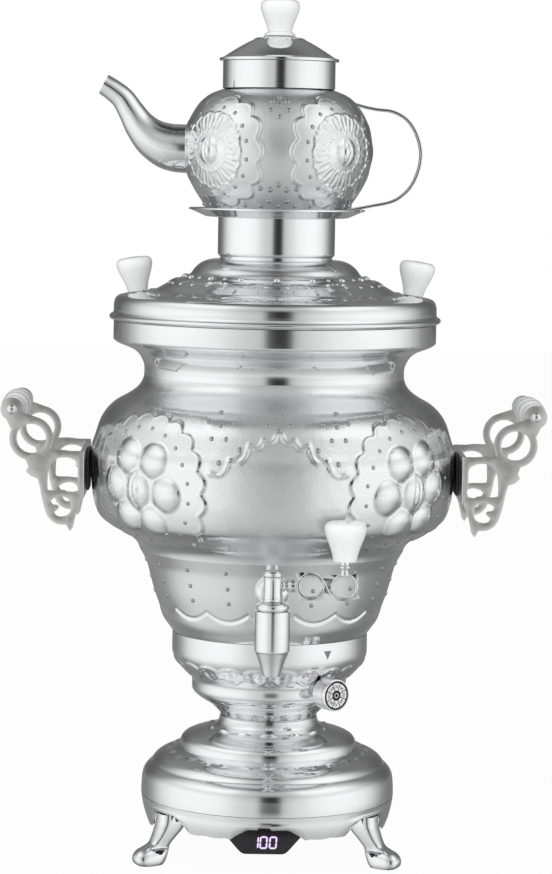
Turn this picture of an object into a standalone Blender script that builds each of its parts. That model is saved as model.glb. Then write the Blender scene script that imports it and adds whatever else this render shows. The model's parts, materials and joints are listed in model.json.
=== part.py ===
"""Electric samovar with a teapot on its lid, modelled as separate pieces.

Metres, +Z up. The feet stand on z = 0. The turning axis of the samovar stands a little behind
the origin, which is the middle of the whole footprint, tap and handles included. The tap points
to -Y, and the two carrying handles lie along -X (left) and +X (right).
"""
import math

import bmesh
import bpy
from mathutils import Matrix, Vector

# Clearances, sheet metal and facets
seat_gap = 0.0003
running_gap = 0.0003
wall = 0.001
overrun = 0.004
weld_distance = 0.00001
sharp_angle = math.radians(35)
shell_sides = 28
small_sides = 16
tiny_sides = 10
knob_sides = 24
sheet_slack = 0.0003
face_slack = 0.0002
quarter_turn = math.pi / 2

# Base: three feet, skirt, dome and neck
foot_azimuths = {"left": -60, "right": 60, "back": 180}
foot_height = 0.0364
foot_seat_radius = 0.0778
foot_seat_half = 0.01072
foot_width = 0.018
foot_screw_radius = 0.002
foot_screw_head_radius = 0.004
foot_screw_head_height = 0.0022
foot_screw_depth = 0.012
skirt_lobe_z = 0.0270
skirt_arch_rise = 0.0108
skirt_front_rise = 0.0078
skirt_side_drop = 0.0055
skirt_lobe_squareness = 8
skirt_arch_half_angle = 18
skirt_arch_lean = {"left": 3.6, "right": -3.6, "back": 0}
skirt_front_half_angle = 17
skirt_edge_inset = 0.0031
skirt_roll_z = 0.0395
skirt_roll_inset = 0.0005
base_margin = 0.0129
seam_z = 0.0437
base_plate_thickness = 0.0015
dome_height = 0.0558
plateau_radius = 0.0616
plateau_drop = 0.012
neck_radius = 0.033
neck_height = 0.0118
tube_radius = 0.008
tube_bore_radius = 0.0055
tube_head_radius = 0.0125
tube_head_height = 0.0025
tube_nut_radius = 0.0135
tube_nut_height = 0.0045
tube_tail = 0.002
gland_radius = 0.0052
gland_flange_radius = 0.0075
gland_flange = 0.0022
gland_bore_radius = 0.0036
gland_rise = 0.0067
gland_inner_length = 0.006

# Display on the front of the base
display_width = 0.060
display_foot_width = 0.031
display_height = 0.0207
display_depth = 0.008
display_gap = 0.00065
display_offset = -0.0028
board_width = 0.046
board_length = 0.030
board_thickness = 0.0016
board_setback = 0.0175

# Burner cup between the base and the tank
cup_height = 0.0611
cup_waist_radius = 0.0337
cup_band_radius = 0.0553
cup_band_rise = 0.0197
cup_band_height = 0.0075
cup_rim_radius = 0.0698
cup_rim_height = 0.0144

# Tank: cone, belly, neck and rim
cone_height = 0.0587
cone_foot_rise = 0.0165
cone_foot_radius = 0.0788
cone_top_radius = 0.0942
belly_radius = 0.130
belly_rise = 0.0655
belly_end_rise = 0.105
belly_end_radius = 0.112
tank_neck_radius = 0.0925
tank_neck_rise = 0.1235
tank_neck_height = 0.007
tank_height = 0.1623
rim_radius = 0.1146
rim_height = 0.0135
floor_rise = 0.0165
floor_thickness = 0.0012
element_radius = 0.045
element_tube_radius = 0.0035
element_lift = 0.014
element_leg_gap = 0.016
element_leg_drop = 0.016
element_turn_points = 20
cutout_radius = 0.009
cutout_height = 0.006
bulb_radius = 0.003
bulb_length = 0.036
bulb_offset = 0.026

# Thermostat in the burner cup
thermostat_azimuth = 36
thermostat_rise = 0.0256
thermostat_body_radius = 0.009
thermostat_body_length = 0.016
thermostat_setback = 0.0055
thermostat_bush_radius = 0.0042
thermostat_bush_proud = 0.0024
thermostat_shaft_radius = 0.0028
thermostat_shaft_depth = 0.010
dial_knob_radius = 0.0112
dial_knob_length = 0.0212
dial_knob_hub_radius = 0.0042
dial_knob_taper = 0.0075
dial_knob_socket = 0.012
dial_rim = 0.0012
dial_recess = 0.001
dial_thickness = 0.0006

# Tap on the front of the tank
tap_stand_off = 0.005
tap_inlet_rise = 0.040
tap_inlet_radius = 0.0054
tap_bore_radius = 0.0032
tap_tail_inside = 0.007
rosette_radius = 0.012
rosette_height = 0.0075
tap_nut_radius = 0.0095
tap_nut_height = 0.0035
tap_gasket_radius = 0.0105
tap_gasket_thickness = 0.0015
tap_collar_radius = 0.0112
tap_collar_drop = 0.0055
tap_collar_height = 0.0050
barrel_radius = 0.0064
barrel_height = 0.018
chamber_radius = 0.0042
seat_radius = 0.0026
seat_drop = 0.009
tap_spigot_radius = 0.0088
tap_spigot_length = 0.009
tap_cap_height = 0.0042
tap_cap_plug = 0.0025
nozzle_radius = 0.0121
nozzle_tip_radius = 0.0058
nozzle_height = 0.0445
nozzle_straight = 0.0265
nozzle_wall = 0.0016
stem_radius = 0.0020
stem_disc_radius = 0.0037
stem_disc_height = 0.0025
stem_lift = 0.003
shaft_drop = 0.0065
shaft_radius = 0.0026
shaft_collar_radius = 0.0044
shaft_collar_length = 0.0085
lever_thickness = 0.003
lever_ring_radius = 0.0097
lever_ring_hole = 0.0073
lever_tip_ring_radius = 0.0095
lever_tip_ring_hole = 0.0078
lever_ring_pitch = 0.0228
lever_leaf = 0.0045
lever_stem_radius = 0.0040
lever_stem_height = 0.009
lever_knob_radius = 0.0142
lever_knob_height = 0.0272

# Carrying handles
handle_drop = 0.010
bracket_span = 0.094
bracket_plate_height = 0.0333
bracket_plate_thickness = 0.003
cheek_thickness = 0.0032
cheek_size = 0.050
cheek_ring_radius = 0.0152
cheek_ring_hole = 0.0103
cheek_boss_radius = 0.008
grip_radius = 0.0102
grip_end_radius = 0.0074
grip_ribs = 4
grip_rib_depth = 0.0011
grip_bolt_radius = 0.0021
grip_nut_radius = 0.0037
grip_nut_height = 0.0042
handle_gasket_thickness = 0.0014
handle_gasket_width = 0.034
handle_gasket_height = 0.029
handle_screw_radius = 0.002
handle_screw_head_radius = 0.0033
handle_screw_head_height = 0.0052
handle_screw_tail = 0.006
handle_screw_rise = 0.0028

# Lid with its two knobs
lid_bead_radius = 0.118
lid_bead_height = 0.0046
lid_shoulder_height = 0.0135
lid_shelf_radius = 0.088
lid_shelf_slope = 0.0025
lid_step_radius = 0.060
lid_step_rise = 0.0335
lid_top_rise = 0.0439
lid_spigot_radius = 0.0372
lid_spigot_height = 0.0068
lid_seat_radius = 0.0398
lid_seat_height = 0.0017
lid_plug_depth = 0.0075
knob_radius = 0.0127
knob_height = 0.0245
knob_circle_radius = 0.0967
knob_screw_radius = 0.0018
knob_screw_head_radius = 0.0038
knob_screw_head_height = 0.0018
knob_screw_depth = 0.011

# Teapot stand: collar and saucer
collar_radius = 0.0415
collar_height = 0.0273
collar_lip_radius = 0.0376
collar_roll = 0.003
saucer_radius = 0.0625
saucer_floor_radius = 0.0485
saucer_height = 0.0053
saucer_hole_radius = 0.030

# Teapot
pot_base_radius = 0.0455
pot_radius = 0.067
pot_height = 0.0889
pot_widest_rise = 0.0455
pot_mouth_radius = 0.0385
band_radius = 0.0397
band_height = 0.0189
pot_lid_radius = 0.0424
pot_lid_height = 0.0175
pot_lid_plug_depth = 0.008
pot_lid_flange = 0.0022
pot_lid_crown_radius = 0.012
pot_knob_radius = 0.0138
pot_knob_height = 0.0238
pot_knob_flange_radius = 0.0108
pot_knob_flange = 0.0022
spout_root_radius = 0.0172
spout_tip_radius = 0.0073
spout_reach = 0.1235
spout_root_rise = 0.046
spout_tip_rise = 0.0905
spout_wall = 0.0011
spout_hole_radius = 0.0115
strap_width = 0.010
strap_thickness = 0.002
strap_reach = 0.101
strainer_radius = 0.0135
strainer_thickness = 0.0008
strainer_hole_radius = 0.0013
strainer_hole_count = 7
strainer_ring_radius = 0.0082

# Places that follow from the sizes above
base_radius = foot_seat_radius + base_margin
skirt_edge_radius = base_radius - skirt_edge_inset
skirt_roll_radius = base_radius - skirt_roll_inset
display_corner = display_width / 2 - display_offset
display_front = math.sqrt((skirt_edge_radius - wall) ** 2 - display_corner ** 2) - display_gap
board_front = display_front - board_setback
tap_reach = belly_radius + tap_stand_off
axis_y = (tap_reach + lever_knob_radius - belly_radius) / 2
plate_bottom_z = foot_height + 2 * seat_gap
plate_top_z = plate_bottom_z + base_plate_thickness
dome_bottom_z = seam_z + seat_gap
dome_top_z = dome_bottom_z + dome_height
cup_bottom_z = dome_top_z + seat_gap
cup_top_z = cup_bottom_z + cup_height
cone_bottom_z = cup_top_z + seat_gap
cone_top_z = cone_bottom_z + cone_height
tank_bottom_z = cone_top_z + seat_gap
tank_top_z = tank_bottom_z + tank_height
thermostat_z = cup_bottom_z + thermostat_rise
tap_inlet_z = cone_bottom_z + tap_inlet_rise
handle_z = tank_bottom_z + belly_rise - handle_drop
lid_bottom_z = tank_top_z + seat_gap
lid_seat_z = lid_bottom_z + lid_top_rise + lid_seat_height
collar_bottom_z = lid_seat_z + seat_gap
collar_top_z = collar_bottom_z + collar_height
saucer_bottom_z = collar_top_z + seat_gap
pot_bottom_z = saucer_bottom_z + wall + seat_gap
pot_top_z = pot_bottom_z + pot_height
band_bottom_z = pot_top_z + seat_gap
band_top_z = band_bottom_z + band_height
pot_lid_bottom_z = band_top_z + seat_gap

# Finishes: colour, metallic, roughness
polished_steel = ((0.82, 0.83, 0.84), 1.0, 0.12)
satin_silver = ((0.80, 0.80, 0.79), 1.0, 0.35)
plated_zinc = ((0.62, 0.62, 0.64), 1.0, 0.38)
brass_plain = ((0.72, 0.58, 0.33), 1.0, 0.35)
white_plastic = ((0.90, 0.91, 0.90), 0.0, 0.22)
black_plastic = ((0.02, 0.02, 0.025), 0.0, 0.20)
dial_white = ((0.88, 0.88, 0.88), 0.0, 0.40)
grey_rubber = ((0.09, 0.09, 0.09), 0.0, 0.70)
board_green = ((0.05, 0.22, 0.10), 0.0, 0.45)


# Making and placing objects

def clear_scene():
    for item in list(bpy.data.objects):
        bpy.data.objects.remove(item, do_unlink=True)


def finish_material(name, finish):
    colour, metallic, roughness = finish
    material = bpy.data.materials.new(name + "_finish")
    material.use_nodes = True
    shader = material.node_tree.nodes["Principled BSDF"]
    shader.inputs["Base Color"].default_value = (*colour, 1.0)
    shader.inputs["Metallic"].default_value = metallic
    shader.inputs["Roughness"].default_value = roughness
    return material


def add_axis():
    """Add the empty that every piece hangs from, on the samovar's turning axis."""
    axis = bpy.data.objects.new("samovar_axis", None)
    bpy.context.scene.collection.objects.link(axis)
    axis.location = (0, axis_y, 0)


def link_object(name, data, place=None, parent=None):
    item = bpy.data.objects.new(name, data)
    bpy.context.scene.collection.objects.link(item)
    item.parent = parent or bpy.data.objects["samovar_axis"]
    if place is not None:
        item.matrix_basis = place
    return item


def add_piece(name, bm, finish, place=None, parent=None):
    bmesh.ops.recalc_face_normals(bm, faces=bm.faces)
    mesh = bpy.data.meshes.new(name)
    bm.to_mesh(mesh)
    bm.free()
    mesh.shade_smooth()
    mesh.set_sharp_from_angle(angle=sharp_angle)
    mesh.materials.append(finish_material(name, finish))
    return link_object(name, mesh, place, parent)


def add_helper(name, bm, place=None, parent=None):
    bmesh.ops.recalc_face_normals(bm, faces=bm.faces)
    mesh = bpy.data.meshes.new(name)
    bm.to_mesh(mesh)
    bm.free()
    item = link_object(name, mesh, place, parent)
    item.hide_render = True
    item.display_type = "WIRE"
    return item


def add_pivot(name, place, parent=None):
    pivot = link_object(name, None, place, parent)
    pivot.empty_display_size = wall
    return pivot


def combine(piece, helper, operation):
    step = piece.modifiers.new(operation.lower() + "_" + helper.name, "BOOLEAN")
    step.operation = operation
    step.solver = "EXACT"
    step.object = helper


def cut(piece, helper):
    combine(piece, helper, "DIFFERENCE")


def join(piece, helper):
    combine(piece, helper, "UNION")


def moved(x=0, y=0, z=0):
    return Matrix.Translation((x, y, z))


def facing_azimuth(azimuth, radius, height):
    """Return a frame at a radius and height whose local Z points away from the samovar's axis.

    Azimuth is in degrees from the front (-Y), positive towards the right (+X).
    """
    turn = Matrix.Rotation(math.radians(azimuth), 4, "Z")
    return turn @ moved(0, -radius, height) @ Matrix.Rotation(quarter_turn, 4, "X")


# Outlines

def run(start, end, shares):
    """Return points from start to end, each given as its share of the change in radius and height."""
    return [
        (start[0] + (end[0] - start[0]) * across, start[1] + (end[1] - start[1]) * up)
        for across, up in shares
    ]


def offset_line(points, distance):
    """Return an open outline moved to its left by a distance, with mitred corners."""
    lefts = []
    for (r0, z0), (r1, z1) in zip(points, points[1:]):
        length = math.hypot(r1 - r0, z1 - z0)
        lefts.append(Vector((-(z1 - z0) / length, (r1 - r0) / length)))
    shifted = []
    for index, (radius, height) in enumerate(points):
        before = lefts[max(index - 1, 0)]
        after = lefts[min(index, len(lefts) - 1)]
        middle = (before + after).normalized()
        reach = distance / max(middle.dot(after), 0.5)
        shifted.append((radius + middle.x * reach, height + middle.y * reach))
    return shifted


def radius_at(points, height):
    """Return the radius of an outline, listed from bottom to top, at a height."""
    for (r0, z0), (r1, z1) in zip(points, points[1:]):
        if z0 <= height <= z1:
            return r0 + (r1 - r0) * (height - z0) / max(z1 - z0, weld_distance)
    return points[-1][0]


def block_outline(inner, outer, low, high):
    return [(inner, low), (outer, low), (outer, high), (inner, high)]


def arc(centre, radius, start, end, count):
    """Return points on an arc, angles in degrees."""
    points = []
    for step in range(count + 1):
        angle = math.radians(start + (end - start) * step / count)
        points.append((centre[0] + radius * math.cos(angle), centre[1] + radius * math.sin(angle)))
    return points


def smooth_points(points, steps, closed):
    """Return a Catmull-Rom line through the points."""
    count = len(points)
    spans = count if closed else count - 1
    line = []
    for span in range(spans):
        if closed:
            a, b, c, d = (points[(span + k) % count] for k in (-1, 0, 1, 2))
        else:
            a, b, c, d = (points[min(max(span + k, 0), count - 1)] for k in (-1, 0, 1, 2))
        for step in range(steps):
            t = step / steps
            line.append(tuple(
                0.5 * (2 * q + (r - p) * t + (2 * p - 5 * q + 4 * r - s) * t ** 2
                       + (3 * q - p - 3 * r + s) * t ** 3)
                for p, q, r, s in zip(a, b, c, d)
            ))
    if not closed:
        line.append(tuple(points[-1]))
    return line


def scaled(shares, size, height=None):
    """Return a table of shares as lengths."""
    rise = size if height is None else height
    return [(across * size, up * rise) for across, up in shares]


# Solids

def turned(outline, sides):
    """Return a solid of a closed (radius, height) outline spun about Z."""
    bm = bmesh.new()
    verts = [bm.verts.new((radius, 0, height)) for radius, height in outline]
    edges = []
    for index, (radius, height) in enumerate(outline):
        on_axis = max(radius, outline[index - 1][0]) < weld_distance
        if not on_axis:
            edges.append(bm.edges.new((verts[index - 1], verts[index])))
    bmesh.ops.spin(
        bm, geom=verts + edges, cent=(0, 0, 0), axis=(0, 0, 1), angle=math.tau,
        steps=sides, use_merge=True,
    )
    bmesh.ops.remove_doubles(bm, verts=bm.verts, dist=weld_distance)
    return bm


def rod(radius, low, high, sides=small_sides):
    return turned(block_outline(0, radius, low, high), sides)


def pipe(inner, outer, low, high, sides=small_sides):
    return turned(block_outline(inner, outer, low, high), sides)


def simplified(points, slack):
    """Return an open outline without the points that lie within the slack of a chord."""
    first = Vector(points[0])
    chord = Vector(points[-1]) - first
    length = max(chord.length, weld_distance)
    strays = [abs(chord.cross(Vector(point) - first)) / length for point in points]
    worst = max(range(len(points)), key=strays.__getitem__)
    if strays[worst] < slack:
        return [points[0], points[-1]]
    return simplified(points[:worst + 1], slack)[:-1] + simplified(points[worst:], slack)


def sheet_inside(line):
    """Return the inner face of sheet metal whose outer face is a bottom-to-top line."""
    return simplified(offset_line(line, wall), sheet_slack)


def shell_outline(line):
    return simplified(line, face_slack) + sheet_inside(line)[::-1]


def box(low, high):
    bm = bmesh.new()
    bmesh.ops.create_cube(bm, size=1)
    size = Vector(high) - Vector(low)
    middle = (Vector(high) + Vector(low)) / 2
    bmesh.ops.scale(bm, vec=size, verts=bm.verts)
    bmesh.ops.translate(bm, vec=middle, verts=bm.verts)
    return bm


def skinned(rings, closed):
    """Return a solid through rings of equal point count, closed into a loop or capped at both ends."""
    bm = bmesh.new()
    loops = [[bm.verts.new(point) for point in ring] for ring in rings]
    pairs = list(zip(loops, loops[1:]))
    if closed:
        pairs.append((loops[-1], loops[0]))
    for low, high in pairs:
        for index in range(len(low)):
            bm.faces.new((low[index - 1], low[index], high[index], high[index - 1]))
    if not closed:
        bm.faces.new(loops[0][::-1])
        bm.faces.new(loops[-1])
    return bm


def plate(outline, holes, thickness):
    """Return a flat plate in the XZ plane, centred on Y, with holes right through it."""
    bm = bmesh.new()
    for loop in [outline, *holes]:
        verts = [bm.verts.new((across, -thickness / 2, up)) for across, up in loop]
        for index in range(len(verts)):
            bm.edges.new((verts[index - 1], verts[index]))
    bmesh.ops.triangle_fill(bm, use_beauty=True, edges=bm.edges)
    grown = bmesh.ops.extrude_face_region(bm, geom=bm.faces[:])
    top = [item for item in grown["geom"] if isinstance(item, bmesh.types.BMVert)]
    bmesh.ops.translate(bm, vec=(0, thickness, 0), verts=top)
    return bm


def ring_in_plane(centre, along, radius, sides):
    """Return a ring of points about a centre, square to a direction in the XZ plane."""
    side = Vector((0, 1, 0))
    across = side.cross(along).normalized()
    return [
        centre + radius * (math.cos(math.tau * k / sides) * across + math.sin(math.tau * k / sides) * side)
        for k in range(sides)
    ]


def directions(path):
    """Return the direction of travel at each point of a path."""
    last = len(path) - 1
    return [(path[min(i + 1, last)] - path[max(i - 1, 0)]).normalized() for i in range(last + 1)]


# Outlines of the turned shells, listed from bottom to top

def skirt_edge_z(azimuth):
    """Return the height of the skirt's scalloped lower edge at an azimuth in degrees."""
    rise = 0
    for name, foot_azimuth in foot_azimuths.items():
        centre = foot_azimuth + skirt_arch_lean[name]
        away = abs((azimuth - centre + 180) % 360 - 180) / skirt_arch_half_angle
        rise = max(rise, skirt_arch_rise * arch_height(away))
    from_front = abs((azimuth + 180) % 360 - 180)
    rise = max(rise, skirt_front_rise * arch_height(from_front / skirt_front_half_angle))
    return skirt_lobe_z + rise - skirt_side_drop * side_lobe(from_front)


def side_lobe(from_front):
    """Return the share of its depth that the wide lobe between a side foot and the back foot has."""
    start = foot_azimuths["right"] + skirt_arch_lean["right"] + skirt_arch_half_angle
    end = foot_azimuths["back"] - skirt_arch_half_angle
    away = abs(from_front - (start + end) / 2) / ((end - start) / 2)
    return max(0, 1 - away ** skirt_lobe_squareness)


def arch_height(away):
    """Return the height share of an arch with a flat crown, at a share of its half width."""
    if away >= 1:
        return 0
    return min(1, 1.35 * math.cos(away * quarter_turn) ** 0.8)


def dome_line():
    bottom = (base_radius, dome_bottom_z)
    crown = (plateau_radius, dome_top_z - neck_height - plateau_drop)
    shoulder_shares = [(0, 0), (0, 0.12), (0.023, 0.40), (0.082, 0.55), (0.21, 0.68), (0.262, 0.71),
                       (0.452, 0.87), (0.52, 0.90), (0.95, 0.985), (1, 1)]
    plateau_shares = [(0.015, 0.62), (0.10, 0.74), (0.93, 0.95), (1, 1)]
    neck_foot = (neck_radius, dome_top_z - neck_height)
    line = run(bottom, crown, shoulder_shares)
    line += run(crown, neck_foot, plateau_shares)
    line.append((neck_radius, dome_top_z))
    return line


def cup_line():
    band_z = cup_bottom_z + cup_band_rise
    rim_z = cup_top_z - cup_rim_height
    bowl_shares = [(0, 0), (0.08, 0.14), (0.22, 0.29), (0.38, 0.46), (0.66, 0.64), (0.87, 0.81), (0.97, 0.92),
                   (1, 1)]
    shoulder_shares = [(0, 0), (0.12, 0.10), (0.36, 0.31), (0.69, 0.58), (0.90, 0.80), (1, 1)]
    line = run((cup_waist_radius, cup_bottom_z), (cup_band_radius, band_z), bowl_shares)
    band_top = (cup_band_radius, band_z + cup_band_height)
    line += run(band_top, (cup_rim_radius, rim_z), shoulder_shares)
    line.append((cup_rim_radius, cup_top_z))
    return line


def cone_line():
    foot_shares = [(0, 0), (0.14, 0.10), (0.50, 0.38), (0.80, 0.68), (1, 1)]
    side_shares = [(0.30, 0.30), (0.54, 0.62), (0.65, 0.76), (0.74, 0.83), (1, 1)]
    foot = (cone_foot_radius, cone_bottom_z + cone_foot_rise)
    line = run((cup_rim_radius, cone_bottom_z), foot, foot_shares)
    return line + run(foot, (cone_top_radius, cone_top_z), side_shares)


def tank_line():
    belly = (belly_radius, tank_bottom_z + belly_rise)
    upper = (belly_end_radius, tank_bottom_z + belly_end_rise)
    neck = (tank_neck_radius, tank_bottom_z + tank_neck_rise)
    rim = (rim_radius, tank_top_z - rim_height)
    lower_shares = [(0, 0), (0.04, 0.06), (0.19, 0.145), (0.41, 0.21), (0.68, 0.30), (0.84, 0.39), (0.94, 0.57),
                    (0.98, 0.76), (1, 1)]
    upper_shares = [(0.045, 0.20), (0.13, 0.31), (0.255, 0.49), (0.39, 0.67), (0.65, 0.853), (1, 1)]
    flare_shares = [(0.38, 0.22), (0.71, 0.46), (0.88, 0.66), (0.97, 0.84), (1, 1)]
    under_rim_shares = [(0, 0), (0.08, 0.25), (0.17, 0.43), (0.35, 0.62), (0.64, 0.77), (0.90, 0.89), (1, 1)]
    line = run((cone_top_radius, tank_bottom_z), belly, lower_shares)
    line += run(belly, upper, upper_shares)
    line += run(upper, neck, flare_shares)
    line += run((tank_neck_radius, neck[1] + tank_neck_height), rim, under_rim_shares)
    line.append((rim_radius, tank_top_z))
    return line


def lid_shelf_z():
    return lid_bottom_z + lid_bead_height + lid_shoulder_height + lid_shelf_slope


def lid_line():
    bead_top_z = lid_bottom_z + lid_bead_height
    shoulder_z = bead_top_z + lid_shoulder_height
    shelf = (lid_shelf_radius, lid_shelf_z())
    step = (lid_step_radius, lid_bottom_z + lid_step_rise)
    top = (lid_seat_radius, lid_bottom_z + lid_top_rise)
    bead_shares = [(0, 0), (1, 0.12), (1, 0.88), (0, 1)]
    shoulder_shares = [(0, 0.45), (0.035, 0.75), (0.13, 0.93), (0.33, 1)]
    dome_shares = [(0, 0), (0.11, 0.09), (0.38, 0.42), (0.66, 0.70), (0.93, 0.90), (1, 1)]
    step_shares = [(0.13, 0.38), (0.38, 0.76), (0.68, 0.96), (1, 1)]
    line = run((rim_radius, lid_bottom_z), (lid_bead_radius, bead_top_z), bead_shares)
    line += run((rim_radius, bead_top_z), (lid_shelf_radius, shoulder_z), shoulder_shares)
    line += run(shelf, step, dome_shares)
    line += run(step, top, step_shares)
    line.append((lid_seat_radius, lid_seat_z))
    line.append((lid_spigot_radius, lid_seat_z))
    line.append((lid_spigot_radius, lid_seat_z + lid_spigot_height))
    return line


def saucer_line():
    floor = (saucer_floor_radius, saucer_bottom_z)
    rim_shares = [(0, 0), (0.30, 0.25), (0.70, 0.70), (1, 1)]
    line = [(saucer_hole_radius, saucer_bottom_z)]
    return line + run(floor, (saucer_radius, saucer_bottom_z + saucer_height), rim_shares)


def pot_line():
    widest = (pot_radius, pot_bottom_z + pot_widest_rise)
    lower_shares = [(0, 0), (0.08, 0.008), (0.15, 0.034), (0.21, 0.08), (0.28, 0.15), (0.44, 0.26), (0.64, 0.41),
                    (0.80, 0.56), (0.95, 0.80), (1, 1)]
    upper_shares = [(0.02, 0.19), (0.09, 0.40), (0.21, 0.58), (0.40, 0.77), (0.66, 0.91), (1, 1)]
    line = [(0, pot_bottom_z)]
    line += run((pot_base_radius, pot_bottom_z), widest, lower_shares)
    return line + run(widest, (pot_mouth_radius, pot_top_z), upper_shares)


def pot_lid_line():
    flange_z = pot_lid_bottom_z + pot_lid_flange
    crown = (pot_lid_crown_radius, pot_lid_bottom_z + pot_lid_height)
    dome_shares = [(0.06, 0.02), (0.20, 0.18), (0.42, 0.47), (0.68, 0.77), (0.88, 0.93), (1, 1)]
    line = [(pot_lid_radius, pot_lid_bottom_z), (pot_lid_radius, flange_z)]
    return line + run((pot_lid_radius, flange_z), crown, dome_shares)


# Base

def build_foot(side, azimuth):
    """Cast cabriole leg: level slices from the seat under the base down to the paw."""
    slice_shares = [
        (1.0, -1.0, 1.0, 1.0), (0.82, -0.86, 1.05, 1.0), (0.68, -0.62, 1.20, 0.94), (0.55, -0.20, 1.38, 0.83),
        (0.42, 0.18, 1.66, 0.70), (0.345, 0.30, 2.18, 0.67), (0.30, 0.34, 2.51, 0.78), (0.20, 0.46, 2.77, 0.91),
        (0.08, 0.64, 2.77, 0.93), (0.0, 0.82, 2.48, 0.78),
    ]
    corner_shares = arc((0, 0), 1, 0, 330, 11)
    rings = []
    for up, inner, outer, width in slice_shares:
        low = foot_seat_radius + inner * foot_seat_half
        high = foot_seat_radius + outer * foot_seat_half
        middle = (low + high) / 2
        ring = []
        for c, s in corner_shares:
            out = math.copysign(abs(c) ** 0.6, c) * (high - low) / 2
            across = math.copysign(abs(s) ** 0.6, s) * width * foot_width / 2
            ring.append((across, -(middle + out), up * foot_height))
        rings.append(ring)
    turn = Matrix.Rotation(math.radians(azimuth), 4, "Z")
    foot = add_piece("foot_" + side, skinned(rings, False), polished_steel, turn)
    hole_place = turn @ moved(0, -foot_seat_radius, plate_top_z)
    hole = add_helper(
        "foot_hole_" + side,
        rod(foot_screw_radius + running_gap, -foot_screw_depth - seat_gap, overrun, tiny_sides), hole_place,
    )
    cut(foot, hole)
    screw_outline = [
        (0, -foot_screw_depth), (foot_screw_radius, -foot_screw_depth), (foot_screw_radius, seat_gap),
        (foot_screw_head_radius, seat_gap), (foot_screw_head_radius, seat_gap + foot_screw_head_height / 2),
        (foot_screw_radius, seat_gap + foot_screw_head_height), (0, seat_gap + foot_screw_head_height),
    ]
    add_piece("foot_screw_" + side, turned(screw_outline, tiny_sides), plated_zinc, hole_place)
    return hole


def build_skirt():
    """Skirt ring whose lower edge rises in an arch over each foot and over the display."""
    columns = []
    sides = 2 * shell_sides
    for step in range(sides):
        azimuth = 360 * step / sides
        edge_z = skirt_edge_z(azimuth)
        share = (edge_z - skirt_lobe_z) / (skirt_roll_z - skirt_lobe_z)
        edge_radius = skirt_edge_radius + (skirt_roll_radius - skirt_edge_radius) * share
        line = [(edge_radius, edge_z), (skirt_roll_radius, skirt_roll_z), (base_radius, seam_z)]
        inner = [(radius - wall, height) for radius, height in line]
        angle = math.radians(azimuth - 90)
        columns.append([
            (radius * math.cos(angle), radius * math.sin(angle), height)
            for radius, height in line + inner[::-1]
        ])
    add_piece("base_skirt", skinned(columns, True), polished_steel)


def build_base(foot_holes):
    dome_outer = dome_line()
    inner = sheet_inside(dome_outer)
    dome_outer = simplified(dome_outer, face_slack)
    top_under = dome_top_z - wall
    tube_hole = tube_radius + running_gap
    closed = dome_outer + [(tube_hole, dome_top_z), (tube_hole, top_under), (inner[-1][0], top_under)]
    dome = add_piece("base_dome", turned(closed + inner[-2::-1], shell_sides), polished_steel)
    gland_z = dome_bottom_z + gland_rise
    gland_place = facing_azimuth(180, base_radius, gland_z)
    cut(dome, add_helper(
        "gland_hole", rod(gland_radius + running_gap, -overrun, overrun), gland_place))
    gland_outline = [
        (gland_bore_radius, -gland_inner_length), (gland_radius, -gland_inner_length), (gland_radius, seat_gap),
        (gland_flange_radius, seat_gap), (gland_flange_radius, seat_gap + gland_flange / 2),
        (gland_radius, seat_gap + gland_flange), (gland_bore_radius, seat_gap + gland_flange),
    ]
    add_piece("cord_gland", turned(gland_outline, small_sides), black_plastic, gland_place)

    plate_radius = skirt_edge_radius - wall
    base_plate = add_piece(
        "base_plate", pipe(tube_hole, plate_radius, plate_bottom_z, plate_top_z, shell_sides), plated_zinc)
    for hole in foot_holes:
        cut(base_plate, hole)

    head_low = cup_bottom_z + wall + seat_gap
    nut_top = plate_bottom_z - seat_gap
    tube_low = nut_top - tube_nut_height - tube_tail
    tube_outline = [
        (tube_bore_radius, tube_low), (tube_radius, tube_low), (tube_radius, head_low),
        (tube_head_radius, head_low), (tube_head_radius, head_low + tube_head_height),
        (tube_bore_radius, head_low + tube_head_height),
    ]
    add_piece("clamp_tube", turned(tube_outline, small_sides), plated_zinc)
    nut = pipe(tube_radius + running_gap, tube_nut_radius, nut_top - tube_nut_height, nut_top, small_sides)
    add_piece("clamp_nut", nut, plated_zinc)


def build_display():
    top_z = plate_bottom_z - seat_gap
    half = display_width / 2
    foot_half = display_foot_width / 2
    corner_shares = [(-1, 1), (-1, 0.84), (-0.72, 0.36), (-0.60, 0.18), (-0.52, 0.06), (-0.42, 0),
                     (0.42, 0), (0.52, 0.06), (0.60, 0.18), (0.72, 0.36), (1, 0.84), (1, 1)]
    outline = []
    for across, up in corner_shares:
        reach = half if abs(across) == 1 else foot_half / 0.52
        outline.append((display_offset + across * reach, top_z - display_height * (1 - up)))
    middle = -(display_front - display_depth / 2)
    add_piece("display_panel", plate(outline, [], display_depth), black_plastic, moved(0, middle, 0))
    board_low = plate_top_z + seat_gap
    board = box(
        (-board_width / 2, -board_front, board_low),
        (board_width / 2, -board_front + board_length, board_low + board_thickness))
    add_piece("control_board", board, board_green)


# Burner cup and tank

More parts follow.
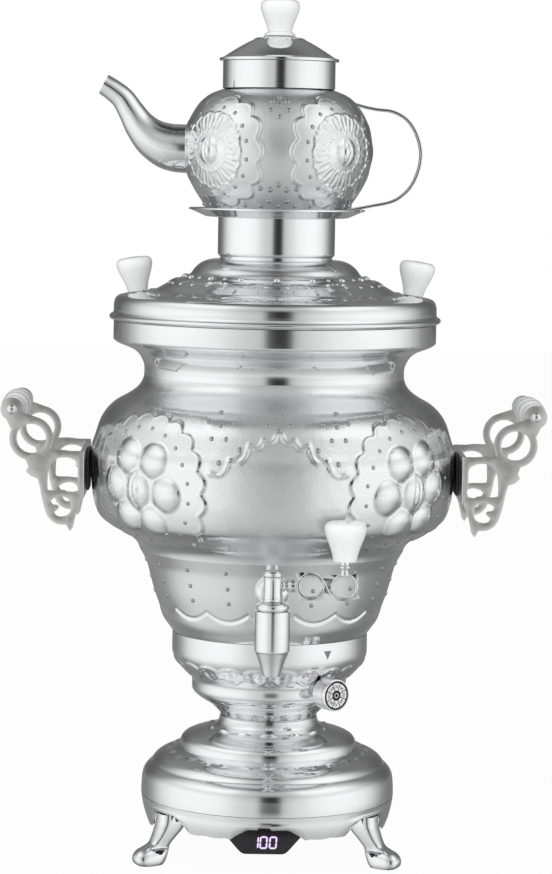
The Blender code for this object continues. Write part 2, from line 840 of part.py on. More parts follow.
def build_cup():
    inner = sheet_inside(cup_line())
    line = simplified(cup_line(), face_slack)
    floor_top = cup_bottom_z + wall
    tube_hole = tube_radius + running_gap
    floor_radius = radius_at(inner, floor_top)
    above_floor = [point for point in inner if point[1] > floor_top + wall / 2]
    outline = [(tube_hole, cup_bottom_z)] + line + above_floor[::-1]
    outline += [(floor_radius, floor_top), (tube_hole, floor_top)]
    cup = add_piece("burner_cup", turned(outline, shell_sides), polished_steel)
    wall_radius = radius_at(line, thermostat_z)
    place = facing_azimuth(thermostat_azimuth, wall_radius, thermostat_z)
    hole = rod(thermostat_bush_radius + running_gap, -thermostat_setback - overrun, overrun)
    cut(cup, add_helper("thermostat_hole", hole, place))
    return wall_radius


def build_thermostat(wall_radius):
    place = facing_azimuth(thermostat_azimuth, wall_radius, thermostat_z)
    back = -thermostat_setback - thermostat_body_length
    bush_top = thermostat_bush_proud
    bore = thermostat_shaft_radius + running_gap
    bore_low = bush_top - thermostat_shaft_depth
    body = [
        (0, back), (thermostat_body_radius, back), (thermostat_body_radius, -thermostat_setback),
        (thermostat_bush_radius, -thermostat_setback), (thermostat_bush_radius, bush_top), (bore, bush_top),
        (bore, bore_low), (0, bore_low),
    ]
    add_piece("thermostat_body", turned(body, small_sides), plated_zinc, place)
    knob_low = bush_top + running_gap
    knob_high = knob_low + dial_knob_length
    pivot = add_pivot("thermostat_pivot", place)
    shaft_high = knob_low + dial_knob_socket - running_gap
    shaft = rod(thermostat_shaft_radius, bore_low + running_gap, shaft_high, small_sides)
    add_piece("thermostat_shaft", shaft, plated_zinc, None, pivot)
    face_radius = dial_knob_radius - dial_rim
    socket = thermostat_shaft_radius + running_gap
    knob = [
        (socket, knob_low), (dial_knob_hub_radius, knob_low), (dial_knob_radius, knob_low + dial_knob_taper),
        (dial_knob_radius, knob_high - dial_rim / 2), (dial_knob_radius - dial_rim / 2, knob_high),
        (face_radius, knob_high), (face_radius, knob_high - dial_recess), (0, knob_high - dial_recess),
        (0, knob_low + dial_knob_socket), (socket, knob_low + dial_knob_socket),
    ]
    add_piece("thermostat_knob", turned(knob, knob_sides), polished_steel, None, pivot)
    dial_low = knob_high - dial_recess + seat_gap
    dial = rod(face_radius - running_gap, dial_low, dial_low + dial_thickness, knob_sides)
    add_piece("thermostat_dial", dial, dial_white, None, pivot)


def build_cone():
    line = cone_line()
    cone = add_piece("body_lower", turned(shell_outline(line), shell_sides), polished_steel)
    floor_low = cone_bottom_z + floor_rise
    floor_top = floor_low + floor_thickness
    inner = offset_line(line, wall)
    floor_radius = radius_at(inner, floor_low) * math.cos(math.pi / shell_sides) - seat_gap
    tank_floor = add_piece(
        "tank_floor", rod(floor_radius, floor_low, floor_top, shell_sides), polished_steel)
    leg_hole = element_tube_radius + running_gap
    for side in (-1, 1):
        hole = rod(leg_hole, floor_low - overrun, floor_top + overrun, tiny_sides)
        place = moved(side * element_leg_gap / 2, element_radius, 0)
        cut(tank_floor, add_helper("leg_hole_" + str(side + 1), hole, place))
    build_element(floor_low, floor_top)
    cutout_top = floor_low - seat_gap
    add_piece("thermal_cutout", rod(cutout_radius, cutout_top - cutout_height, cutout_top), black_plastic)
    bulb_place = moved(-bulb_length / 2, -bulb_offset, floor_low - seat_gap - bulb_radius)
    bulb_place = bulb_place @ Matrix.Rotation(quarter_turn, 4, "Y")
    add_piece("thermostat_bulb", rod(bulb_radius, 0, bulb_length, tiny_sides), plated_zinc, bulb_place)
    return cone, line


def build_element(floor_low, floor_top):
    """Heating element: an open loop above the tank floor with two legs through the floor."""
    loop_z = floor_top + element_lift
    half_gap = math.asin(element_leg_gap / 2 / element_radius)
    foot_z = floor_low - element_leg_drop
    leg_y = element_radius
    bend = element_lift / 2
    points = [(-element_leg_gap / 2, leg_y, foot_z), (-element_leg_gap / 2, leg_y, loop_z - bend)]
    for step in range(element_turn_points + 1):
        share = step / element_turn_points
        angle = quarter_turn + half_gap * 1.5 + share * (math.tau - 3 * half_gap)
        points.append((element_radius * math.cos(angle), element_radius * math.sin(angle), loop_z))
    points += [(element_leg_gap / 2, leg_y, loop_z - bend), (element_leg_gap / 2, leg_y, foot_z)]
    curve = bpy.data.curves.new("heating_element", "CURVE")
    curve.dimensions = "3D"
    curve.bevel_depth = element_tube_radius
    curve.bevel_resolution = 1
    curve.use_fill_caps = True
    curve.render_resolution_u = 0
    spline = curve.splines.new("POLY")
    spline.points.add(len(points) - 1)
    for point, place in zip(spline.points, points):
        point.co = (*place, 1)
    curve.materials.append(finish_material("heating_element", plated_zinc))
    link_object("heating_element", curve)


def build_tank():
    tank = add_piece("body_upper", turned(shell_outline(tank_line()), shell_sides), polished_steel)
    for side in (-1, 1):
        hole = rod(handle_screw_radius + running_gap, -overrun, overrun, tiny_sides)
        place = facing_azimuth(90 * side, belly_radius, handle_z + handle_screw_rise)
        cut(tank, add_helper("handle_hole_" + str(side + 1), hole, place))


# Tap

def tap_levels():
    """Return the heights that the tap's pieces share."""
    levels = {}
    levels["collar_low"] = tap_inlet_z - tap_collar_drop
    levels["collar_high"] = levels["collar_low"] + tap_collar_height
    levels["barrel_high"] = levels["collar_high"] + barrel_height
    levels["spigot_low"] = levels["collar_low"] - tap_spigot_length
    levels["seat"] = tap_inlet_z - seat_drop
    levels["nozzle_high"] = levels["collar_low"] - seat_gap
    levels["shaft"] = levels["barrel_high"] - shaft_drop
    return levels


def build_tap(cone, line):
    levels = tap_levels()
    wall_radius = radius_at(line, tap_inlet_z)
    wall_place = facing_azimuth(0, wall_radius, tap_inlet_z)
    valve_place = moved(0, -tap_reach, 0)
    cut(cone, add_helper(
        "tap_hole", rod(tap_inlet_radius + running_gap, -4 * overrun, 2 * overrun), wall_place))
    skin_outside = [(0, cone_bottom_z)] + offset_line(line, -seat_gap) + [(0, cone_top_z)]
    outside = add_helper("cone_outside", turned(skin_outside, shell_sides))
    inside_line = offset_line(line, wall + seat_gap)
    inside = add_helper("cone_inside", turned([(0, cone_bottom_z)] + inside_line + [(0, cone_top_z)], shell_sides))

    rosette_bore = tap_inlet_radius + running_gap
    rosette_shares = [(1, 0), (1, 0.22), (0.93, 0.55), (0.78, 0.85), (0.60, 1)]
    back = -tap_inlet_radius
    rosette_line = [(rosette_bore, back), (rosette_radius, back)]
    rosette_line += scaled(rosette_shares, rosette_radius, rosette_height)
    rosette_line.append((rosette_bore, rosette_height))
    rosette = add_piece("tap_rosette", turned(rosette_line, 2 * tiny_sides), polished_steel, wall_place)
    cut(rosette, outside)

    gasket_back = -tap_inlet_radius - tap_gasket_thickness
    gasket = add_piece(
        "tap_gasket", pipe(rosette_bore, tap_gasket_radius, gasket_back, 0), grey_rubber, wall_place)
    combine(gasket, inside, "INTERSECT")
    nut_top = gasket_back - seat_gap
    nut_loop = arc((0, 0), tap_nut_radius, 0, 300, 5)
    nut_hole = arc((0, 0), rosette_bore, 0, 337.5, 15)
    nut_middle = wall_radius + nut_top - tap_nut_height / 2
    nut = plate(nut_loop, [nut_hole], tap_nut_height)
    add_piece("tap_nut", nut, brass_plain, moved(0, -nut_middle, tap_inlet_z))

    tail_low = nut_top - tap_nut_height - tap_tail_inside / 2
    build_tap_body(levels, valve_place, wall_place, tap_reach - wall_radius, tail_low)
    build_nozzle(levels, valve_place)
    build_tap_handle(levels)


def build_tap_body(levels, valve_place, wall_place, reach, tail_low):
    spigot = [
        (0, levels["spigot_low"]), (tap_spigot_radius, levels["spigot_low"]),
        (tap_spigot_radius, levels["collar_low"]), (tap_collar_radius, levels["collar_low"]),
        (tap_collar_radius, levels["collar_high"] - wall), (tap_collar_radius - wall, levels["collar_high"]),
        (barrel_radius, levels["collar_high"]), (barrel_radius, levels["barrel_high"]),
        (0, levels["barrel_high"]),
    ]
    body = add_piece("tap_body", turned(spigot, 2 * tiny_sides), polished_steel, valve_place)
    off_facet = wall_place @ Matrix.Rotation(math.pi / small_sides / 3, 4, "Z")
    join(body, add_helper("tap_inlet", rod(tap_inlet_radius, tail_low, reach), off_facet))
    bore_high = levels["barrel_high"] + overrun
    bore_low = levels["spigot_low"] - overrun
    bores = [
        (0, bore_low), (seat_radius, bore_low), (seat_radius, levels["seat"]),
        (chamber_radius, levels["seat"]), (chamber_radius, bore_high), (0, bore_high),
    ]
    passages = add_helper("tap_passages", turned(bores, small_sides), valve_place)
    inlet_bore = rod(tap_bore_radius, tail_low - overrun, reach, tiny_sides)
    join(passages, add_helper("tap_inlet_bore", inlet_bore, off_facet))
    shaft_place = moved(0, -tap_reach, levels["shaft"]) @ Matrix.Rotation(quarter_turn, 4, "Y")
    shaft_hole = rod(shaft_radius + running_gap, 0, 2 * barrel_radius)
    join(passages, add_helper("tap_shaft_hole", shaft_hole, shaft_place))
    cut(body, passages)

    cap_low = levels["barrel_high"] + seat_gap
    cap_shares = [(1.08, 0), (1.08, 0.25), (1.0, 0.55), (0.78, 0.85), (0.45, 1), (0, 1)]
    plug = chamber_radius - running_gap
    cap = [(0, cap_low - tap_cap_plug), (plug, cap_low - tap_cap_plug), (plug, cap_low)]
    cap += [(radius, cap_low + rise) for radius, rise in scaled(cap_shares, barrel_radius, tap_cap_height)]
    add_piece("tap_cap", turned(cap, 2 * tiny_sides), polished_steel, valve_place)

    stem_low = levels["seat"] + seat_gap
    stem_high = levels["shaft"] - shaft_radius - stem_lift - seat_gap
    stem = [
        (0, stem_low), (stem_disc_radius, stem_low), (stem_disc_radius, stem_low + stem_disc_height),
        (stem_radius, stem_low + stem_disc_height), (stem_radius, stem_high), (0, stem_high),
    ]
    add_piece("tap_stem", turned(stem, tiny_sides), brass_plain, valve_place)


def build_nozzle(levels, valve_place):
    high = levels["nozzle_high"]
    low = high - nozzle_height
    shoulder = high - nozzle_straight
    taper_shares = [(0, 0), (0.10, 0.10), (0.55, 0.55), (1, 1)]
    outer = run((nozzle_tip_radius, low), (nozzle_radius, shoulder), taper_shares)
    outer.append((nozzle_radius, high - wall))
    outer.append((nozzle_radius - wall, high))
    spigot_bore = tap_spigot_radius + running_gap
    spigot_end = levels["spigot_low"] - running_gap
    inner_tip = nozzle_tip_radius - nozzle_wall
    inner = [(spigot_bore, high), (spigot_bore, spigot_end), (tap_spigot_radius, spigot_end)]
    inner += [(tap_spigot_radius, shoulder), (inner_tip, low)]
    add_piece("tap_nozzle", turned(outer + inner, 2 * tiny_sides), polished_steel, valve_place)


def build_tap_handle(levels):
    """Cross shaft, filigree lever and knob, all turning about the shaft's axis."""
    pivot = add_pivot("tap_pivot", moved(0, -tap_reach, levels["shaft"]))
    shaft_turn = Matrix.Rotation(quarter_turn, 4, "Y")
    collar_low = barrel_radius + running_gap
    collar_high = collar_low + shaft_collar_length
    shaft = [
        (0, running_gap), (shaft_radius, running_gap), (shaft_radius, collar_low),
        (shaft_collar_radius * 0.85, collar_low), (shaft_collar_radius * 0.85, collar_low + wall),
        (shaft_radius, collar_low + 1.5 * wall), (shaft_radius, collar_low + 2 * wall),
        (shaft_collar_radius, collar_low + 2.5 * wall), (shaft_collar_radius, collar_high), (0, collar_high),
    ]
    add_piece("tap_shaft", turned(shaft, tiny_sides), polished_steel, shaft_turn, pivot)

    first = collar_high + seat_gap + lever_ring_radius
    second = first + lever_ring_pitch
    tip = lever_tip_ring_radius
    leaf = lever_leaf
    outline = arc((first, 0), lever_ring_radius, 180, 250, 3)
    outline += [(first - lever_ring_radius * 0.75, -lever_ring_radius - leaf * 0.5)]
    outline += arc((first, 0), lever_ring_radius, 262, 300, 2)
    outline += [(first + lever_ring_radius + leaf * 0.4, -lever_ring_radius - leaf * 0.2)]
    outline += arc((second, 0), tip, 215, 300, 4)
    outline += [(second + tip + leaf * 0.2, -tip - leaf * 0.1)]
    outline += arc((second, 0), tip, 330, 380, 3)
    outline += [(second + tip + leaf * 0.3, tip + leaf * 0.1)]
    outline += arc((second, 0), tip, 50, 128, 4)
    outline += [(second - tip - leaf * 0.1, tip + leaf * 0.7)]
    outline += arc((first, 0), lever_ring_radius, 40, 110, 3)
    outline += [(first - lever_ring_radius * 0.8, lever_ring_radius + leaf * 0.6)]
    outline += arc((first, 0), lever_ring_radius, 128, 155, 2)
    holes = [arc((first, 0), lever_ring_hole, 0, 340, 17), arc((second, 0), lever_tip_ring_hole, 0, 340, 17)]
    lever = add_piece("tap_lever", plate(outline, holes, lever_thickness), polished_steel, None, pivot)
    stem_low = lever_tip_ring_hole + seat_gap
    stem = rod(lever_stem_radius, stem_low, stem_low + lever_stem_height, tiny_sides)
    join(lever, add_helper("lever_stem", stem, moved(second, 0, 0), pivot))
    knob_low = stem_low + lever_stem_height + seat_gap
    knob = knob_outline(lever_knob_radius, lever_knob_height, 0)
    add_piece("tap_lever_knob", turned(knob, small_sides), white_plastic, moved(second, 0, knob_low), pivot)


# Knobs

def knob_outline(radius, height, bore_radius, bore_depth=0):
    """Closed outline of a bulbous plastic knob standing on z = 0, with a screw bore from below."""
    side_shares = [(0.56, 0), (0.57, 0.05), (0.64, 0.20), (0.79, 0.42), (0.93, 0.60), (1, 0.76), (0.97, 0.88),
                   (0.84, 0.96), (0.55, 0.995), (0, 1)]
    side = scaled(side_shares, radius, height)
    if bore_radius == 0:
        return [(0, 0)] + side
    return [(bore_radius, 0)] + side + [(0, bore_depth), (bore_radius, bore_depth)]


# Carrying handles

def cheek_outline():
    """Outer outline of one pierced cheek: plate edge at zero, grip boss up and outwards."""
    ring = (cheek_size * 0.712, cheek_size * 0.50)
    boss = grip_centre()
    foot_shares = [(0.720, 0.116), (0.778, 0.038), (0.710, -0.030), (0.600, -0.070), (0.560, -0.306),
                   (0.516, -0.502), (0.430, -0.642), (0.302, -0.698), (0.196, -0.698), (0.168, -0.782),
                   (0.094, -0.614), (0.030, -0.400), (0, -0.334)]
    outline = [(0, cheek_size * 0.332), (cheek_size * 0.30, cheek_size * 0.332)]
    outline += arc(ring, cheek_ring_radius, 215, 100, 7)
    outline += arc(boss, cheek_boss_radius, 195, -60, 8)
    outline += arc(ring, cheek_ring_radius, 22, -80, 6)
    return outline + scaled(foot_shares, cheek_size)


def cheek_holes():
    window_shares = [(0.326, 0.234), (0.438, 0.122), (0.480, -0.004), (0.480, -0.228), (0.060, -0.228),
                     (0.060, 0.150), (0.120, 0.206), (0.258, 0.248)]
    kidney_shares = [(0.430, -0.394), (0.360, -0.324), (0.248, -0.310), (0.164, -0.366), (0.150, -0.506),
                     (0.234, -0.586), (0.346, -0.586), (0.374, -0.534), (0.310, -0.480), (0.330, -0.430)]
    ring = (cheek_size * 0.712, cheek_size * 0.50)
    return [
        arc(ring, cheek_ring_hole, 0, 340, 17),
        arc(grip_centre(), grip_bolt_radius + running_gap, 0, 330, 11),
        scaled(window_shares, cheek_size),
        scaled(kidney_shares, cheek_size),
    ]


def grip_centre():
    return (cheek_size * 0.982, cheek_size * 0.904)


def mirrored(loops, side):
    return [[(side * across, up) for across, up in loop] for loop in loops]


def build_handle(name, side):
    """One carrying handle; side is 1 at +X and -1 at -X."""
    gasket_low = belly_radius + seat_gap
    plate_low = gasket_low + handle_gasket_thickness + seat_gap
    half = handle_gasket_width / 2
    tall = handle_gasket_height / 2
    screw_place = facing_azimuth(90 * side, 0, handle_z + handle_screw_rise)
    hole_radius = handle_screw_radius + running_gap
    hole_high = plate_low + bracket_plate_thickness + overrun
    hole = add_helper("screw_path_" + name, rod(hole_radius, belly_radius - overrun, hole_high, tiny_sides), screw_place)

    gasket_sides = sorted((side * gasket_low, side * (gasket_low + handle_gasket_thickness)))
    gasket = add_piece("handle_gasket_" + name, box(
        (gasket_sides[0], -half, handle_z - tall), (gasket_sides[1], half, handle_z + tall)), grey_rubber)
    cut(gasket, hole)

    plate_sides = sorted((side * plate_low, side * (plate_low + bracket_plate_thickness)))
    reach = (bracket_span + cheek_thickness) / 2
    tall = bracket_plate_height / 2
    bracket = add_piece("handle_bracket_" + name, box(
        (plate_sides[0], -reach, handle_z - tall), (plate_sides[1], reach, handle_z + tall)), satin_silver)
    edge = plate_low + bracket_plate_thickness / 2
    loops = mirrored([cheek_outline(), *cheek_holes()], side)
    for end, depth in (("front", -bracket_span / 2), ("rear", bracket_span / 2)):
        cheek = plate(loops[0], loops[1:], cheek_thickness)
        place = moved(side * edge, depth, handle_z)
        join(bracket, add_helper("cheek_" + name + "_" + end, cheek, place))
    cut(bracket, hole)

    head_low = plate_low + bracket_plate_thickness + seat_gap
    head_shares = [(1, 0), (1, 0.45), (0.85, 0.75), (0.5, 0.95), (0, 1)]
    tail = belly_radius - handle_screw_tail
    screw = [(0, tail), (handle_screw_radius, tail), (handle_screw_radius, head_low)]
    head = scaled(head_shares, handle_screw_head_radius, handle_screw_head_height)
    screw += [(radius, head_low + rise) for radius, rise in head]
    add_piece("handle_screw_" + name, turned(screw, tiny_sides), plated_zinc, screw_place)

    centre = grip_centre()
    grip_place = moved(side * (edge + centre[0]), 0, handle_z + centre[1])
    grip_place = grip_place @ Matrix.Rotation(quarter_turn, 4, "X")
    build_grip(name, grip_place)


def build_grip(name, place):
    inside = (bracket_span - cheek_thickness) / 2
    half = inside - running_gap
    pivot = add_pivot("grip_pivot_" + name, place)
    steps = 4 * grip_ribs
    outer = []
    for step in range(steps + 1):
        along = 2 * step / steps - 1
        bulge = grip_end_radius + (grip_radius - grip_end_radius) * (1 - along ** 2)
        groove = grip_rib_depth * (1 + math.cos(math.tau * grip_ribs * step / steps)) / 2
        outer.append((bulge - groove, along * half))
    bore = grip_bolt_radius + running_gap
    add_piece("handle_grip_" + name, turned(
        outer + [(bore, half), (bore, -half)], small_sides), white_plastic, None, pivot)
    head_low = (bracket_span + cheek_thickness) / 2 + seat_gap
    nut_shares = [(1, 0), (1, 0.45), (0.85, 0.75), (0.5, 0.95), (0, 1)]
    nut = scaled(nut_shares, grip_nut_radius, grip_nut_height)
    bolt = [(radius, -head_low - rise) for radius, rise in nut[::-1]]
    bolt += [(grip_bolt_radius, -head_low), (grip_bolt_radius, head_low)]
    bolt += [(radius, head_low + rise) for radius, rise in nut]
    add_piece("handle_bolt_" + name, turned(bolt, tiny_sides), polished_steel, place)


# Lid and teapot stand

def build_lid():
    line = lid_line()
    sheet_line = line[3:]
    inner = sheet_inside(sheet_line)
    plug_outer = rim_radius - wall - 2 * running_gap
    plug_inner = plug_outer - wall
    plug_low = lid_bottom_z - lid_plug_depth
    inner = [point for point in inner if point[0] < plug_inner - wall]
    outline = line + inner[::-1]
    outline += [(plug_inner, inner[0][1] - lid_bead_height), (plug_inner, plug_low), (plug_outer, plug_low),
                (plug_outer, lid_bottom_z)]
    lid = add_piece("lid", turned(outline, shell_sides), polished_steel)
    shelf_low_z = lid_bottom_z + lid_bead_height + lid_shoulder_height
    shelf_outer_radius = lid_shelf_radius + (rim_radius - lid_shelf_radius) * 0.67
    share = (knob_circle_radius - lid_shelf_radius) / (shelf_outer_radius - lid_shelf_radius)
    base_z = lid_shelf_z() - share * lid_shelf_slope
    tilt = math.atan2(lid_shelf_slope, shelf_outer_radius - lid_shelf_radius)
    for name, side in (("left", -1), ("right", 1)):
        place = moved(side * knob_circle_radius, 0, base_z) @ Matrix.Rotation(side * tilt, 4, "Y")
        path = rod(knob_screw_radius + running_gap, -3 * wall, 3 * wall, tiny_sides)
        cut(lid, add_helper("knob_hole_" + name, path, place))
        build_knob("lid_knob_" + name, "lid_screw_" + name, place, knob_radius, knob_height, small_sides)


def build_knob(knob_name, screw_name, place, radius, height, sides):
    bore = knob_screw_radius + running_gap
    seat = moved(0, 0, 2 * seat_gap)
    outline = knob_outline(radius, height, bore, knob_screw_depth)
    add_piece(knob_name, turned(outline, sides), white_plastic, place @ seat)
    head_top = -wall - 2 * seat_gap
    screw = [
        (0, head_top - knob_screw_head_height), (knob_screw_head_radius * 0.7, head_top - knob_screw_head_height),
        (knob_screw_head_radius, head_top - knob_screw_head_height * 0.5), (knob_screw_head_radius, head_top),
        (knob_screw_radius, head_top), (knob_screw_radius, knob_screw_depth - running_gap),
        (0, knob_screw_depth - running_gap),
    ]
    add_piece(screw_name, turned(screw, tiny_sides), plated_zinc, place)


def build_stand():
    lip_outer = lid_seat_radius + wall / 2
    roll_z = collar_bottom_z + collar_roll
    roll_shares = [(0, 0), (0.55, 0.12), (0.88, 0.48), (1, 1)]
    line = run((lip_outer, collar_bottom_z), (collar_radius, roll_z), roll_shares)
    line.append((collar_radius, collar_top_z))
    inner_radius = collar_radius - wall
    outline = [(collar_lip_radius, collar_bottom_z)] + line
    outline += [(inner_radius, collar_top_z), (inner_radius, roll_z),
                (collar_lip_radius, collar_bottom_z + wall)]
    add_piece("stand_collar", turned(outline, shell_sides), polished_steel)
    add_piece("stand_saucer", turned(shell_outline(saucer_line()), shell_sides), polished_steel)


# Teapot

def build_pot():
    inner = sheet_inside(pot_line())
    line = simplified(pot_line(), face_slack)
    inner[0] = (0, inner[0][1])
    body = add_piece("teapot_body", turned(line + inner[::-1], shell_sides), polished_steel)
    root_z = pot_bottom_z + spout_root_rise
    hole = add_helper("spout_hole", rod(spout_hole_radius, 0, pot_radius + overrun), facing_azimuth(-90, 0, root_z))
    cut(body, hole)
    skin_outside = offset_line(line, -seat_gap)
    skin_outside[0] = (0, skin_outside[0][1])
    outside = add_helper("pot_outside", turned(
        skin_outside + [(0, skin_outside[-1][1])], shell_sides))
    build_spout(outside, root_z)
    build_strap(outside)
    build_strainer(inner, root_z)
    band_inner = band_radius - wall
    add_piece("teapot_neck", pipe(band_inner, band_radius, band_bottom_z, band_top_z, shell_sides), polished_steel)


def build_spout(outside, root_z):
    """Hollow swan-neck spout in the XZ plane, cut to the teapot's side."""
    tip_z = pot_bottom_z + spout_tip_rise
    root = Vector((-(pot_radius - 0.35 * spout_root_radius), 0, root_z))
    tip = Vector((-spout_reach, 0, tip_z))
    path_shares = [(0, 0), (0.17, 0.01), (0.30, 0.055), (0.45, 0.17), (0.58, 0.35), (0.68, 0.56), (0.78, 0.77),
                   (0.89, 0.90), (1, 1)]
    width_shares = [1, 0.97, 0.88, 0.66, 0.40, 0.21, 0.10, 0.04, 0]
    path = [root + Vector(((tip.x - root.x) * across, 0, (tip.z - root.z) * up)) for across, up in path_shares]
    ways = directions(path)
    ways[0] = Vector((-1, 0, 0))
    ways[-1] = (ways[-1] + Vector((-0.35, 0, 0))).normalized()
    radii = [spout_tip_radius + (spout_root_radius - spout_tip_radius) * share for share in width_shares]
    outer = [ring_in_plane(c, w, r, small_sides) for c, w, r in zip(path, ways, radii)]
    inner = [ring_in_plane(c, w, r - spout_wall, small_sides) for c, w, r in zip(path, ways, radii)]
    spout = add_piece("teapot_spout", skinned(outer + inner[::-1], True), polished_steel)
    cut(spout, outside)


def build_strap(outside):
    """Flat strap handle bent in the XZ plane, cut to the teapot's side at both ends."""
    path_shares = [(0.50, 0.905), (0.60, 0.872), (0.69, 0.853), (0.80, 0.838), (0.895, 0.781), (0.962, 0.677),
                   (1.0, 0.53), (0.988, 0.386), (0.94, 0.256), (0.87, 0.170), (0.79, 0.120), (0.66, 0.088),
                   (0.50, 0.052)]
    path = [Vector((across * strap_reach, 0, pot_bottom_z + up * pot_height)) for across, up in path_shares]
    line = [Vector(point) for point in smooth_points([tuple(point) for point in path], 2, False)]
    half = strap_width / 2
    thick = strap_thickness / 2
    rings = []
    for centre, way in zip(line, directions(line)):
        normal = Vector((0, 1, 0)).cross(way)
        side = Vector((0, half, 0))
        rings.append([
            centre + side + normal * thick, centre - side + normal * thick,
            centre - side - normal * thick, centre + side - normal * thick,
        ])
    strap = add_piece("teapot_handle", skinned(rings, False), polished_steel)
    cut(strap, outside)


def build_strainer(inner, root_z):
    """Pierced disc welded inside the teapot over the spout's hole."""
    at_rim = min(radius_at(inner[1:], root_z - strainer_radius), radius_at(inner[1:], root_z + strainer_radius))
    flat_share = math.cos(math.pi / shell_sides)
    at_side = math.sqrt((radius_at(inner[1:], root_z) * flat_share) ** 2 - strainer_radius ** 2)
    reach = min(at_rim * flat_share, at_side) - seat_gap
    holes = []
    for k in range(strainer_hole_count - 1):
        angle = math.tau * k / (strainer_hole_count - 1)
        centre = (strainer_ring_radius * math.cos(angle), strainer_ring_radius * math.sin(angle))
        holes.append(arc(centre, strainer_hole_radius, 0, 300, 5))
    holes.append(arc((0, 0), strainer_hole_radius, 0, 300, 5))
    disc = plate(arc((0, 0), strainer_radius, 0, 345, 23), holes, strainer_thickness)
    place = moved(-reach + strainer_thickness / 2, 0, root_z) @ Matrix.Rotation(quarter_turn, 4, "Z")
    add_piece("teapot_strainer", disc, polished_steel, place)


def build_pot_lid():
    inner = sheet_inside(pot_lid_line())
    line = simplified(pot_lid_line(), face_slack)
    plug_outer = band_radius - wall - running_gap
    plug_inner = plug_outer - wall
    plug_low = pot_lid_bottom_z - pot_lid_plug_depth
    bore = knob_screw_radius + running_gap
    top_z = line[-1][1]
    inner = [point for point in inner if point[0] < plug_inner - wall / 2]
    outline = line + [(bore, top_z), (bore, top_z - wall)] + inner[::-1]
    outline += [(plug_inner, inner[0][1] - wall), (plug_inner, plug_low), (plug_outer, plug_low),
                (plug_outer, pot_lid_bottom_z)]
    add_piece("teapot_lid", turned(outline, shell_sides), polished_steel)
    knob = knob_outline(pot_knob_radius, pot_knob_height, 0)[1:]
    flange = [(bore, -pot_knob_flange), (pot_knob_flange_radius, -pot_knob_flange),
              (pot_knob_flange_radius * 0.93, -wall / 2)]
    depth = knob_screw_depth
    outline = flange + knob[:-1] + [(0, pot_knob_height), (0, depth), (bore, depth)]
    seat = moved(0, 0, top_z + seat_gap + pot_knob_flange)
    add_piece("teapot_lid_knob", turned(outline, small_sides), white_plastic, seat)
    head_top = -pot_knob_flange - wall - 2 * seat_gap
    screw = [
        (0, head_top - knob_screw_head_height), (knob_screw_head_radius, head_top - knob_screw_head_height),
        (knob_screw_head_radius, head_top), (knob_screw_radius, head_top),
        (knob_screw_radius, depth - running_gap), (0, depth - running_gap),
    ]
    add_piece("teapot_lid_screw", turned(screw, tiny_sides), plated_zinc, seat)


def build_samovar():
    clear_scene()
    add_axis()
    foot_holes = [build_foot(side, azimuth) for side, azimuth in foot_azimuths.items()]
    build_skirt()
    build_base(foot_holes)
    build_display()
    build_thermostat(build_cup())
    cone, line = build_cone()
    build_tap(cone, line)
    build_tank()
    build_handle("left", -1)
    build_handle("right", 1)
    build_lid()
    build_stand()
    build_pot()
    build_pot_lid()


build_samovar()
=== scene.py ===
# %% [markdown]
# # An embossed steel samovar
#
# A samovar is a hot water urn made of thin sheet steel: turned shells stacked on one axis,
# pressed with flowers and dots, and polished until they mirror the room. This script starts
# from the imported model, keeps its hidden parts, and puts a finely made piece over each part
# that shows. Lengths are in metres, and azimuths are in degrees from the tap, to the right.

# %% Load the frame
import json
import math

import bmesh
import bpy
import numpy as np
from mathutils import Matrix, Vector


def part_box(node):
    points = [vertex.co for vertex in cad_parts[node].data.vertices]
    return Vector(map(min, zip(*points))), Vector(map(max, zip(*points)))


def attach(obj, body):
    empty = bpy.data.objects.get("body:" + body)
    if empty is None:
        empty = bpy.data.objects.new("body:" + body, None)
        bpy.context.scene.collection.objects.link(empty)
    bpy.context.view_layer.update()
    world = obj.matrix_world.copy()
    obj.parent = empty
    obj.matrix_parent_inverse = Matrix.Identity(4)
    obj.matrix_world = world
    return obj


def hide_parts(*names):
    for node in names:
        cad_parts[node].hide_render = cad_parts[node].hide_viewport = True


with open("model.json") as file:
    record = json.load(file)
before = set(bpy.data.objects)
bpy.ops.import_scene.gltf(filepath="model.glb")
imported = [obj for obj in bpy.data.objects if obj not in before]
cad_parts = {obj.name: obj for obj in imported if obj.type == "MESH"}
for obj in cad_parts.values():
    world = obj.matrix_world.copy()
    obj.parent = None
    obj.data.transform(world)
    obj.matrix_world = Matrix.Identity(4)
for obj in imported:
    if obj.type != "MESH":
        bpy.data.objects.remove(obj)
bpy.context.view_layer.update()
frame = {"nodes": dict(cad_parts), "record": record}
tank_low, tank_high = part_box("body_upper")
axis_y = (tank_low.y + tank_high.y) / 2
axis = Matrix.Translation((0, axis_y, 0))
quarter = math.pi / 2
print("nodes in the frame:", len(frame["nodes"]), "axis y:", round(axis_y, 4))

# %% [markdown]
# ## The camera
#
# The photograph was taken from about two metres, a little above the middle of the tank, with a
# long lens that looks slightly down. The camera stands there, and its small roll is kept too.

# %% Camera
image_height = 874
focal_pixels = 2952.2
sensor_size = 36
camera_distance = 2.098
eye_height = 0.492
look_down = 0.0911
camera_azimuth = math.radians(0.7)
aim_right = 0.001
camera_roll = 0.0171

